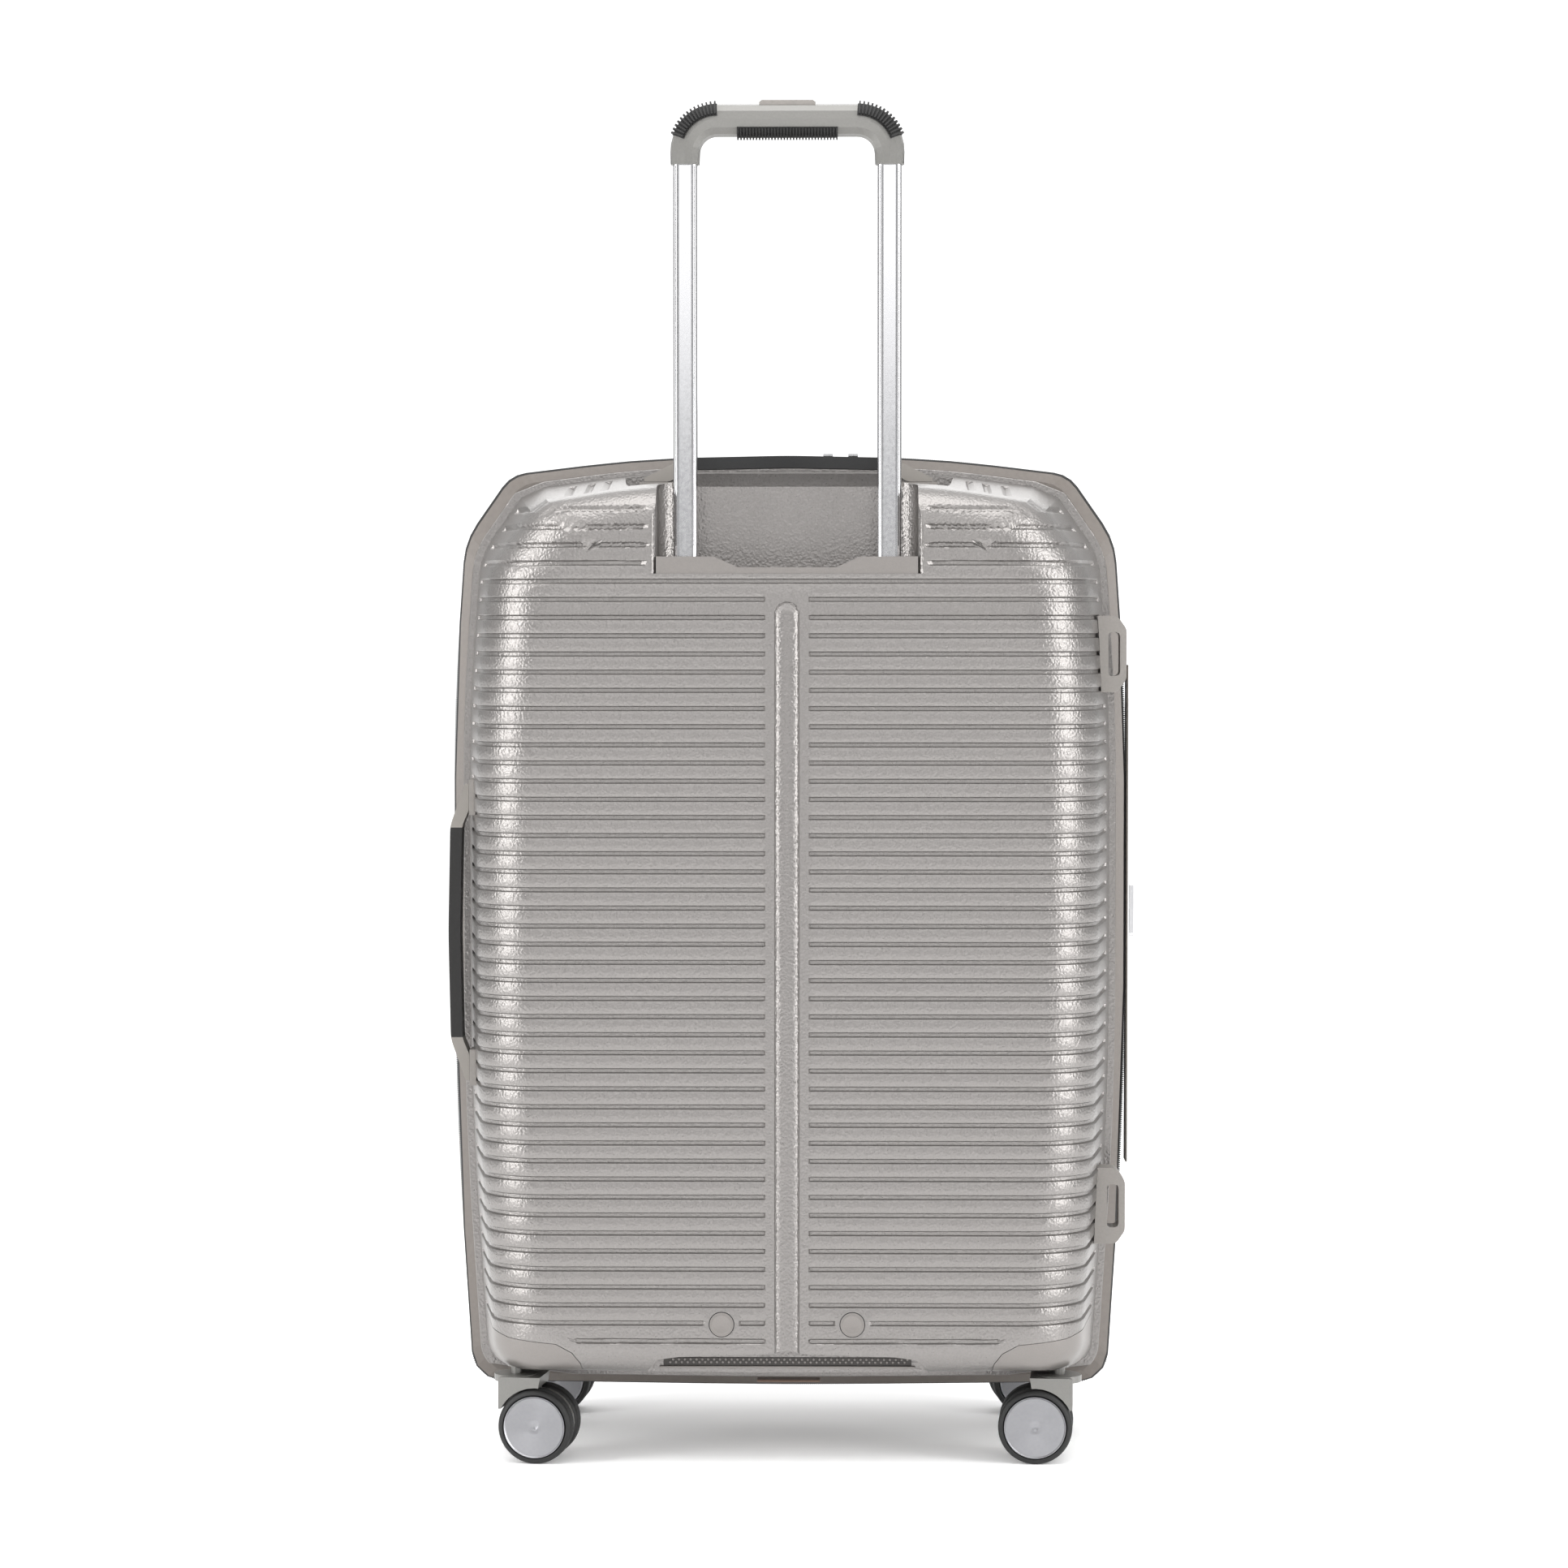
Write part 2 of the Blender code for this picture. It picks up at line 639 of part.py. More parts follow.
def build_shell(name, side):
    """A moulded half shell with its pockets, open at the middle of the case."""
    shell = tray(name, side, 0.0, 0.0, EDGE_RADII, LIP_END, lip=True)
    core = tray(f"{name}_core", side, WALL, WALL, INNER_RADII, LIP_END - PAST)
    combine(shell, shell_pockets(f"{name}_outside", side, 0.0), "DIFFERENCE")
    combine(core, shell_pockets(f"{name}_inside", side, WALL), "DIFFERENCE")
    boolean(shell, as_cutter(core))
    return finish(shell, SHELL_TAUPE, 0.45, 0.35)


def build_lining(name, side, floor, radii):
    """The fabric lining of a half, clear of everything behind it."""
    outside = WALL + LINING_GAP
    inside = outside + LINING_THICKNESS
    lining = tray(name, side, outside, floor, radii, LIP_END + GAP, turn_step=30)
    core_radii = tuple(radius - LINING_THICKNESS for radius in radii)
    core = tray(f"{name}_core", side, inside, floor + LINING_THICKNESS, core_radii,
                LIP_END - PAST, turn_step=30)
    outer_pockets = shell_pockets(f"{name}_outside", side, outside)
    inner_pockets = shell_pockets(f"{name}_inside", side, inside)
    if side < 0:
        outer_pockets += cup_pockets(f"{name}_cup_outside", GAP)
        inner_pockets += cup_pockets(f"{name}_cup_inside", GAP + LINING_THICKNESS)
    combine(lining, outer_pockets, "DIFFERENCE")
    combine(core, inner_pockets, "DIFFERENCE")
    boolean(lining, as_cutter(core))
    return finish(lining, LINING_GREY, 0.9)


# ---- Case body -----------------------------------------------------------------------
def tube_section(width, depth, mirror, radius):
    """Outline of a trolley tube in x and y."""
    return rounded_rectangle(width, depth, radius, (mirror * TUBE_X, TUBE_Y))


def build_back_shell():
    """The back half shell, with its holes for tubes, plugs and handle plates."""
    shell = build_shell("back_shell", -1)
    for mirror in (-1, 1):
        outline = tube_section(OUTER_TUBE_WIDTH + 2 * GAP, OUTER_TUBE_DEPTH + 2 * GAP, mirror,
                               0.005)
        combine(shell, [prism(f"tube_hole_{mirror}", outline, "Z",
                              RECESS_FLOOR - WALL - PAST, RECESS_FLOOR + PAST)], "DIFFERENCE")
        combine(shell, [cylinder(f"plug_hole_{mirror}", PLUG_RADIUS + GAP,
                                 (mirror * PLUG_X, -HALF_DEPTH - PAST, PLUG_Z),
                                 (mirror * PLUG_X, -HALF_DEPTH + WALL + PAST, PLUG_Z), 24)],
                "DIFFERENCE")
    combine(shell, cup_pockets("handle_hole", GAP), "DIFFERENCE")
    return shell


def side_plate_corners(mirror, grow):
    """Low and high corners of a side handle plate, grown by grow."""
    post = side_post(mirror)
    return ((post.x - grow, post.y - PLATE_HALF_DEPTH - grow,
             post.z - PLATE_HALF_LENGTH - grow),
            (post.x + PLATE_THICKNESS + WALL / 2 + grow, post.y + PLATE_HALF_DEPTH + grow,
             post.z + PLATE_HALF_LENGTH + grow))


def build_handle_plates():
    """The four plates with cups that hold the posts of the carry handles."""
    for mirror, word in ((-1, "left"), (1, "right")):
        post = top_post(mirror)
        low = post + Vector((-PLATE_HALF_LENGTH, -PLATE_HALF_DEPTH, GAP))
        high = post + Vector((PLATE_HALF_LENGTH, PLATE_HALF_DEPTH, GAP + PLATE_THICKNESS))
        plate = box(f"top_handle_plate_{word}", low, high)
        cup = cup_box(f"top_cup_{mirror}", post, "Z", post.z + PLATE_THICKNESS / 2, 0.0,
                      post.z - CUP_DEPTH)
        combine(plate, [cup], "UNION")
        hole = cup_box(f"top_cup_bore_{mirror}", post, "Z", post.z + PLATE_THICKNESS + PAST,
                       -CUP_WALL, post.z - CUP_DEPTH + CUP_WALL)
        combine(plate, [hole], "DIFFERENCE")
        finish(plate, HOUSING_TAUPE, 0.45)
    for mirror, word in ((-1, "lower"), (1, "upper")):
        post = side_post(mirror)
        plate = box(f"side_handle_plate_{word}", *side_plate_corners(mirror, 0.0))
        reach = post.x + PLATE_THICKNESS + CUP_DEPTH
        cup = cup_box(f"side_cup_{mirror}", post, "X", post.x + PLATE_THICKNESS, 0.0, reach)
        combine(plate, [cup], "UNION")
        hole = cup_box(f"side_cup_bore_{mirror}", post, "X", post.x - PAST, -CUP_WALL,
                       reach - CUP_WALL)
        combine(plate, [hole], "DIFFERENCE")
        finish(plate, HOUSING_TAUPE, 0.45)


def build_bands(middle, hinge):
    """Piping, zips, middle band and gusset round the opening."""
    def piping(side):
        return [(side * (LIP_END - GAP), BAND_INNER_INSET, BAND_INNER_INSET),
                (side * (LIP_END - GAP), PIPING_FOOT_INSET, PIPING_FOOT_INSET),
                (side * PIPING_CREST, PIPING_INSET, PIPING_INSET),
                (side * PIPING_END, PIPING_INSET, PIPING_INSET),
                (side * PIPING_END, BAND_INNER_INSET, BAND_INNER_INSET)]

    def zip_band(side):
        return [(side * ZIP_OUTER, BAND_INNER_INSET, BAND_INNER_INSET),
                (side * ZIP_OUTER, TAPE_INSET, TAPE_INSET),
                (side * TEETH_OUTER, TEETH_INSET, TEETH_INSET),
                (side * TEETH_INNER, TEETH_INSET, TEETH_INSET),
                (side * ZIP_INNER, TAPE_INSET, TAPE_INSET),
                (side * ZIP_INNER, BAND_INNER_INSET, BAND_INNER_INSET)]

    finish(ring("back_piping", piping(-1)), PIPING_GREY, 0.7)
    carry(finish(ring("front_piping", piping(1)), PIPING_GREY, 0.7), hinge)
    carry(finish(ring("expansion_zip", zip_band(-1)), ZIP_BLACK, 0.6), middle)
    carry(finish(ring("main_zip", zip_band(1)), ZIP_BLACK, 0.6), hinge)
    band = [(-BAND_HALF, BAND_INNER_INSET, BAND_INNER_INSET),
            (-BAND_HALF, TAPE_INSET, TAPE_INSET), (BAND_HALF, TAPE_INSET, TAPE_INSET),
            (BAND_HALF, BAND_INNER_INSET, BAND_INNER_INSET)]
    carry(finish(ring("middle_band", band), BAND_GREY, 0.8), middle)

    flange = BAND_INNER_INSET + GAP
    inner = GUSSET_INSET + GUSSET_THICKNESS
    inner_top = GUSSET_TOP_INSET + GUSSET_THICKNESS
    start = BAND_HALF - GUSSET_THICKNESS
    gusset = [(-GUSSET_DEPTH, inner, inner_top), (-GUSSET_DEPTH, GUSSET_INSET, GUSSET_TOP_INSET),
              (start, GUSSET_INSET, GUSSET_TOP_INSET), (start, flange, flange),
              (BAND_HALF, flange, flange), (BAND_HALF, inner, inner_top)]
    carry(finish(ring("expander_gusset", gusset), BAND_GREY, 0.9), middle)


def build_hinge_strip(middle):
    """The fabric strip over the zips on the hinge side. It is sewn to the middle band."""
    outer = RIM_HALF_WIDTH + HINGE_STRIP_OUT
    strip = box("hinge_strip", (outer - HINGE_STRIP_THICKNESS, -LIP_END + PAST, HINGE_STRIP_LOW),
                (outer, HINGE_Y - GAP, HINGE_STRIP_HIGH))
    carry(finish(strip, BAND_GREY, 0.9), middle)


def build_trolley_bezel():
    """The plate round the tubes at the foot of the recess, lower in its middle."""
    low = RECESS_FLOOR + GAP
    high = RECESS_FLOOR + BEZEL_HEIGHT
    dip = high - BEZEL_DIP
    wide = RECESS_HALF_WIDTH
    outline = [(-wide, low), (wide, low), (wide, high), (BEZEL_SLOPE_HALF, high),
               (BEZEL_DIP_HALF, dip), (-BEZEL_DIP_HALF, dip), (-BEZEL_SLOPE_HALF, high),
               (-wide, high)]
    bezel = prism("trolley_bezel", outline, "Y", -HALF_DEPTH + 0.0005,
                  -HALF_DEPTH + RECESS_DEPTH)
    boolean(bezel, as_cutter(recess_pocket("bezel_limit", -GAP)), "INTERSECT")
    for mirror in (-1, 1):
        outline = tube_section(INNER_TUBE_WIDTH + 2 * SLIDE_GAP,
                               INNER_TUBE_DEPTH + 2 * SLIDE_GAP, mirror, 0.0048)
        combine(bezel, [prism(f"bezel_hole_{mirror}", outline, "Z", RECESS_FLOOR - PAST,
                              high + PAST)], "DIFFERENCE")
    finish(bezel, HOUSING_TAUPE, 0.4)


def build_tube(name, width, depth, mirror, low, high, radius):
    """A hollow trolley tube, standing upright."""
    tube = prism(name, tube_section(width, depth, mirror, radius), "Z", low, high)
    bore = tube_section(width - 2 * TUBE_WALL, depth - 2 * TUBE_WALL, mirror,
                        radius - TUBE_WALL)
    combine(tube, [prism(f"{name}_bore", bore, "Z", low - PAST, high + PAST)], "DIFFERENCE")
    return finish(tube, METAL_SILVER, 0.15, 1.0)


def build_case_fittings():
    """Outer tubes, their bracket, its screw plugs and the side feet of both halves."""
    bracket_low = OUTER_TUBE_BOTTOM - 0.0030
    front = TUBE_Y + OUTER_TUBE_DEPTH / 2 + GAP + 0.0010
    reach = TUBE_X + OUTER_TUBE_WIDTH / 2 + BRACKET_SIDE
    bracket = box("tube_base_bracket", (-reach, -HALF_DEPTH + WALL + GAP, bracket_low),
                  (reach, front, bracket_low + BRACKET_HEIGHT))
    for mirror, word in ((-1, "left"), (1, "right")):
        build_tube(f"outer_tube_{word}", OUTER_TUBE_WIDTH, OUTER_TUBE_DEPTH, mirror,
                   OUTER_TUBE_BOTTOM, RECESS_FLOOR, 0.005)
        outline = tube_section(OUTER_TUBE_WIDTH + 2 * GAP, OUTER_TUBE_DEPTH + 2 * GAP, mirror,
                               0.005)
        socket = prism(f"bracket_socket_{mirror}", outline, "Z", OUTER_TUBE_BOTTOM - GAP,
                       bracket_low + BRACKET_HEIGHT + PAST)
        shank_end = -HALF_DEPTH + WALL + 0.009
        hole = cylinder(f"bracket_hole_{mirror}", PLUG_SHANK + GAP,
                        (mirror * PLUG_X, -HALF_DEPTH, PLUG_Z),
                        (mirror * PLUG_X, shank_end + GAP, PLUG_Z), 20)
        combine(bracket, [socket, hole], "DIFFERENCE")
        plug = cylinder(f"tube_plug_{word}", PLUG_RADIUS,
                        (mirror * PLUG_X, -HALF_DEPTH - PLUG_PROUD, PLUG_Z),
                        (mirror * PLUG_X, -HALF_DEPTH + WALL - GAP, PLUG_Z), 24)
        shank = cylinder(f"plug_shank_{mirror}", PLUG_SHANK,
                         (mirror * PLUG_X, -HALF_DEPTH, PLUG_Z),
                         (mirror * PLUG_X, shank_end, PLUG_Z), 20)
        combine(plug, [shank], "UNION")
        finish(plug, HOUSING_TAUPE, 0.45)
    finish(bracket, (0.05, 0.05, 0.05), 0.6)


def build_side_foot(name, side, height, skin):
    """A D-shaped foot on the hinge side, fitted to the shell's skin."""
    inner = wall_half_width(FOOT_Y) - 0.012
    shoulder = FOOT_REACH - 0.007
    flat = FOOT_HALF_HEIGHT - 0.010
    outline = rounded([(inner, height - FOOT_HALF_HEIGHT, 0, 0),
                       (shoulder, height - FOOT_HALF_HEIGHT, 0.006, 3),
                       (FOOT_REACH, height - flat, 0.008, 3),
                       (FOOT_REACH, height + flat, 0.008, 3),
                       (shoulder, height + FOOT_HALF_HEIGHT, 0.006, 3),
                       (inner, height + FOOT_HALF_HEIGHT, 0, 0)])
    middle = side * FOOT_Y
    foot = prism(name, outline, "Y", middle - FOOT_HALF_DEPTH, middle + FOOT_HALF_DEPTH)
    window = rounded([(wall_half_width(FOOT_Y) + 0.0015, height - FOOT_WINDOW_HALF, 0.002, 2),
                      (FOOT_REACH - FOOT_BAR, height - FOOT_WINDOW_HALF, 0.003, 2),
                      (FOOT_REACH - FOOT_BAR, height + FOOT_WINDOW_HALF, 0.003, 2),
                      (wall_half_width(FOOT_Y) + 0.0015, height + FOOT_WINDOW_HALF, 0.002, 2)])
    combine(foot, [prism(f"{name}_window", window, "Y", middle - 2 * FOOT_HALF_DEPTH,
                         middle + 2 * FOOT_HALF_DEPTH)], "DIFFERENCE")
    boolean(foot, skin)
    return finish(foot, HOUSING_TAUPE, 0.45)


def build_feet(hinge):
    """Two side feet on each half."""
    for side, half in ((-1, "back"), (1, "front")):
        skin = as_cutter(tray(f"{half}_skin", side, -GAP, 0.0, EDGE_RADII, LIP_START))
        for height, word in zip(FOOT_HEIGHTS, ("lower", "upper")):
            foot = build_side_foot(f"side_foot_{half}_{word}", side, height, skin)
            if side > 0:
                carry(foot, hinge)


# ---- Casters -------------------------------------------------------------------------
def build_housing(name, side, mirror):
    """A corner moulding that follows the case outside and carries a caster's stem."""
    housing = tray(name, side, 0.0, 0.0, EDGE_RADII, LIP_START)
    limit = corner_pocket(f"{name}_limit", side, mirror, -GAP)
    middle = Vector((mirror * CASTER_X, side * CASTER_Y, 0.0))
    well_top = FORK_TOP + GAP
    floor_top = well_top + HOUSING_FLOOR
    well = box(f"{name}_well", (-RIM_HALF_WIDTH, -HALF_DEPTH - PAST, 0.0),
               (RIM_HALF_WIDTH, HALF_DEPTH + PAST, well_top))
    hollow = tray(f"{name}_hollow", side, HOUSING_WALL, HOUSING_WALL, INNER_RADII, LIP_START)
    hollow_limit = corner_pocket(f"{name}_hollow_limit", side, mirror, -GAP - HOUSING_WALL)
    hollow_floor = box(f"{name}_floor", (-RIM_HALF_WIDTH, -HALF_DEPTH - PAST, -PAST),
                       (RIM_HALF_WIDTH, HALF_DEPTH + PAST, floor_top))
    inner_x, outer_x = sorted((mirror * (CASTER_X - HOUSING_MOUTH_IN),
                               mirror * (CASTER_X + HOUSING_MOUTH_OUT)))
    mouth = box(f"{name}_mouth", (inner_x, side * CASTER_Y - HOUSING_MOUTH_HALF,
                                  floor_top + 2 * PAST),
                (outer_x, side * CASTER_Y + HOUSING_MOUTH_HALF, HOUSING_TOP_Z + 5 * PAST))
    combine(hollow, [hollow_limit], "INTERSECT")
    combine(hollow, [hollow_floor], "DIFFERENCE")
    combine(hollow, [mouth], "UNION")
    combine(housing, [limit], "INTERSECT")
    combine(housing, [well], "DIFFERENCE")
    boolean(housing, as_cutter(hollow))
    stem_hole = cylinder(f"{name}_stem_hole", STEM_RADIUS + SLIDE_GAP,
                         middle + Vector((0, 0, FORK_TOP - PAST)),
                         middle + Vector((0, 0, floor_top + PAST)), 16)
    head_room = cylinder(f"{name}_head_room", STEM_HEAD_RADIUS + SLIDE_GAP,
                         middle + Vector((0, 0, floor_top)),
                         middle + Vector((0, 0, floor_top + 3 * PAST)), 20)
    seat = cylinder(f"{name}_seat", SEAT_RADIUS, middle + Vector((0, 0, well_top)),
                    middle + Vector((0, 0, floor_top)), 24)
    combine(housing, [seat], "UNION")
    combine(housing, [stem_hole, head_room], "DIFFERENCE")
    return finish(housing, HOUSING_TAUPE, 0.4)


def fork_mesh():
    """The fork of a caster, swivel axis at the origin, wheels trailing towards +X."""
    hub = Vector((TRAIL, 0.0, WHEEL_RADIUS))
    space = WHEEL_RADIUS + FORK_WHEEL_GAP
    across = Vector((0, 1, 0))
    plate_low = FORK_TOP - FORK_PLATE
    outline = rounded([(-FORK_OUT, FORK_TIP, 0, 0), (TRAIL, FORK_TIP, 0, 0),
                       (TRAIL + 0.004, FORK_TOP - 0.0005, 0, 0),
                       (-FORK_OUT, FORK_TOP - 0.0005, 0.002, 2)])
    fork = prism("fork", outline, "Y", -FORK_HALF_WIDTH, FORK_HALF_WIDTH)
    combine(fork, [cylinder("fork_wheel_space", space, hub - across * 0.05,
                            hub + across * 0.05, 32)], "DIFFERENCE")
    top = Vector((0, 0, FORK_TOP))
    web = cylinder("fork_web", WEB_RADIUS, hub - across * WEB_HALF, hub + across * WEB_HALF, 24)
    under = box("fork_web_end", (-FORK_HALF_WIDTH, -FORK_HALF_WIDTH, -PAST),
                (TRAIL + WHEEL_RADIUS, FORK_HALF_WIDTH, WEB_LOW))
    combine(web, [under], "DIFFERENCE")
    neck_half = WEB_HALF - 0.0005
    neck = box("fork_neck", (-FORK_OUT + 0.002, -neck_half, FORK_TIP - 0.004),
               (TRAIL + 0.001, neck_half, plate_low + 0.001))
    turntable = cylinder("fork_turntable", TURNTABLE_RADIUS, Vector((0, 0, plate_low)), top, 24)
    head_low = FORK_TOP + GAP + HOUSING_FLOOR + SLIDE_GAP
    stem = cylinder("fork_stem", STEM_RADIUS, top - Vector((0, 0, 0.001)),
                    Vector((0, 0, head_low + 0.001)), 12)
    head = cylinder("fork_head", STEM_HEAD_RADIUS, Vector((0, 0, head_low)),
                    Vector((0, 0, head_low + STEM_HEAD_HEIGHT)), 16)
    axle_end = WHEEL_GAP / 2 + WHEEL_WIDTH - HUB_CAP_THICKNESS - GAP
    axle = cylinder("fork_axle", AXLE_RADIUS, hub - across * axle_end,
                    hub + across * axle_end, 12)
    combine(fork, [web, neck, turntable, stem, head, axle], "UNION")
    mesh = baked_mesh(fork, "caster_fork")
    bpy.data.objects.remove(fork)
    return mesh


def wheel_mesh():
    """A turned wheel on the Y axis, with a blind bore and its cap towards -Y."""
    outer = -WHEEL_GAP / 2 - WHEEL_WIDTH
    inner = -WHEEL_GAP / 2
    bore = AXLE_RADIUS + GAP
    profile = [(0.0, outer), (WHEEL_RADIUS - WHEEL_CORNER, outer),
               (WHEEL_RADIUS, outer + WHEEL_CORNER), (WHEEL_RADIUS, inner - WHEEL_CORNER / 2),
               (WHEEL_RADIUS - WHEEL_CORNER / 2, inner), (bore, inner),
               (bore, outer + HUB_CAP_THICKNESS), (0.0, outer + HUB_CAP_THICKNESS)]
    shape = bmesh.new()
    corners = [shape.verts.new((radius, y, 0.0)) for radius, y in profile]
    for one, two in zip(corners, corners[1:]):
        shape.edges.new((one, two))
    mesh = bpy.data.meshes.new("caster_wheel_profile")
    shape.to_mesh(mesh)
    shape.free()
    turned = scene_object("caster_wheel_turned", mesh)
    screw = turned.modifiers.new("turn", "SCREW")
    screw.axis = "Y"
    screw.steps = WHEEL_STEPS
    screw.render_steps = WHEEL_STEPS
    screw.use_merge_vertices = True
    screw.merge_threshold = 0.00001
    made = weld(baked_mesh(turned, "caster_wheel"))
    bpy.data.objects.remove(turned)
    return made


def build_casters(hinge):
    """Four casters: housing, turning fork and two wheels each. hinge carries the front two."""
    fork_data = fork_mesh()
    wheel_data = wheel_mesh()
    for half, side in (("back", -1), ("front", 1)):
        for word, mirror in (("left", -1), ("right", 1)):
            place = f"{half}_{word}"
            housing = build_housing(f"caster_housing_{place}", side, mirror)
            if side > 0:
                carry(housing, hinge)
            inward = 0.0 if mirror < 0 else 180.0
            swivel = joint_empty(f"caster_swivel_{place}",
                                 (mirror * CASTER_X, side * CASTER_Y, 0.0),
                                 inward + CASTER_TURN[place], hinge if side > 0 else None)
            fork = scene_object(f"caster_fork_{place}", fork_data.copy())
            fork.parent = swivel
            finish(fork, HOUSING_TAUPE, 0.4)
            axle = joint_empty(f"caster_axle_{place}", (TRAIL, 0.0, WHEEL_RADIUS))
            axle.parent = swivel
            for wheel_side, turn in (("outer", 0.0), ("inner", 180.0)):
                wheel = scene_object(f"caster_wheel_{place}_{wheel_side}", wheel_data.copy())
                wheel.parent = axle
                facing = turn if side * mirror > 0 else 180.0 - turn
                wheel.rotation_euler = (0.0, 0.0, math.radians(facing))
                finish(wheel, RUBBER_BLACK, 0.6)


# ---- Trolley -------------------------------------------------------------------------
def grip_path(overrun=0.0):
    """Points of the grip's centre line: up one leg, along the bar and down the other."""
    low = GRIP_LEG_BOTTOM - overrun
    corners = [(-TUBE_X, low, 0, 0), (-TUBE_X, GRIP_BAR_Z, GRIP_BEND_RADIUS, 8),
               (TUBE_X, GRIP_BAR_Z, GRIP_BEND_RADIUS, 8), (TUBE_X, low, 0, 0)]
    return [Vector((x, TUBE_Y, z)) for x, z in rounded(corners)]


def swept_tube(name, points, radius, scales):
    """A solid round bar along points, from a bevelled curve turned into a mesh."""
    data = bpy.data.curves.new(name, "CURVE")
    data.dimensions = "3D"
    data.bevel_depth = radius
    data.bevel_resolution = 4
    data.use_fill_caps = True
    spline = data.splines.new("POLY")
    spline.points.add(len(points) - 1)
    for point, place, scale in zip(spline.points, points, scales):
        point.co = (*place, 1.0)
        point.radius = scale
    drawn = scene_object(name + "_curve", data)
    mesh = weld(baked_mesh(drawn, name))
    bpy.data.objects.remove(drawn)
    return scene_object(name, mesh)


def leg_scale(z):
    """The grip's thickness, thinner down its legs than along its bar."""
    share = min(1.0, max(0.0, (z - GRIP_LEG_BOTTOM) / (GRIP_BAR_Z - GRIP_LEG_BOTTOM)))
    return GRIP_LEG_SCALE + (1.0 - GRIP_LEG_SCALE) * share


def build_grip(slide):
    """The U-shaped grip with its tube sockets, button slot and yoke channel."""
    path = grip_path()
    grip = swept_tube("trolley_grip", path, GRIP_BAR_RADIUS, [leg_scale(p.z) for p in path])
    channel_top = YOKE_LOW + YOKE_HEIGHT + 2 * GAP
    channel_low = YOKE_LOW - BUTTON_TRAVEL - 2 * GAP
    side = YOKE_HALF_DEPTH + GAP
    cuts = [box("yoke_channel", (-ROD_X - 0.0022, TUBE_Y - side, channel_low),
                (ROD_X + 0.0022, TUBE_Y + side, channel_top)),
            box("button_slot", (-BUTTON_HALF_LENGTH - GAP, TUBE_Y - BUTTON_HALF_DEPTH - GAP,
                                YOKE_LOW + YOKE_HEIGHT - BUTTON_TRAVEL),
                (BUTTON_HALF_LENGTH + GAP, TUBE_Y + BUTTON_HALF_DEPTH + GAP,
                 GRIP_BAR_Z + GRIP_BAR_RADIUS + PAST))]
    socket_top = GRIP_LEG_BOTTOM + SOCKET_DEPTH
    for mirror in (-1, 1):
        outline = tube_section(INNER_TUBE_WIDTH + 2 * GAP, INNER_TUBE_DEPTH + 2 * GAP, mirror,
                               0.0048)
        cuts.append(prism(f"grip_socket_{mirror}", outline, "Z", GRIP_LEG_BOTTOM - PAST,
                          socket_top))
        cuts.append(cylinder(f"rod_hole_{mirror}", ROD_RADIUS + SLIDE_GAP,
                             (mirror * ROD_X, TUBE_Y, socket_top - 0.001),
                             (mirror * ROD_X, TUBE_Y, channel_low + 0.001), 16))
    combine(grip, cuts, "DIFFERENCE")
    carry(finish(grip, HOUSING_TAUPE, 0.4), slide)


def build_palm_pad(slide):
    """The rubber pad under the bar."""
    middle = Vector((0, TUBE_Y, GRIP_BAR_Z))
    half = Vector((PALM_PAD_HALF, 0, 0))
    pad = cylinder("palm_pad", GRIP_BAR_RADIUS + PAD_THICKNESS, middle - half, middle + half, 32)
    bar = cylinder("palm_pad_bar", GRIP_BAR_RADIUS + GAP, middle - 2 * half,
                   middle + 2 * half, 32)
    top = box("palm_pad_top", (-0.1, TUBE_Y - 0.03, GRIP_BAR_Z - PALM_PAD_TOP_DROP),
              (0.1, TUBE_Y + 0.03, GRIP_BAR_Z + 0.03))
    combine(pad, [bar, top], "DIFFERENCE")
    carry(finish(pad, RUBBER_BLACK, 0.7), slide)


def build_corner_pads(slide):
    """The rubber pads on the outside of the grip's bends."""
    bend_x = TUBE_X - GRIP_BEND_RADIUS
    bend_z = GRIP_BAR_Z - GRIP_BEND_RADIUS
    path = grip_path(PAST)
    scales = [leg_scale(point.z) for point in path]
    for mirror, word in ((-1, "left"), (1, "right")):
        outline = []
        for radius, angles in ((GRIP_BEND_RADIUS + CORNER_PAD_WRAP, CORNER_PAD_ANGLES),
                               (2 * GRIP_BEND_RADIUS, CORNER_PAD_ANGLES[::-1])):
            for step in range(5):
                angle = math.radians(angles[0] + (angles[1] - angles[0]) * step / 4)
                outline.append((mirror * (bend_x + radius * math.cos(angle)),
                                bend_z + radius * math.sin(angle)))
        pad = swept_tube(f"corner_pad_{word}", path, GRIP_BAR_RADIUS + PAD_THICKNESS, scales)
        bar = swept_tube(f"corner_pad_bar_{word}", path, GRIP_BAR_RADIUS + 2 * GAP, scales)
        region = prism(f"corner_pad_region_{word}", outline, "Y",
                       TUBE_Y - CORNER_PAD_HALF, TUBE_Y + CORNER_PAD_HALF)
        combine(pad, [bar], "DIFFERENCE")
        combine(pad, [region], "INTERSECT")
        carry(finish(pad, RUBBER_BLACK, 0.7), slide)


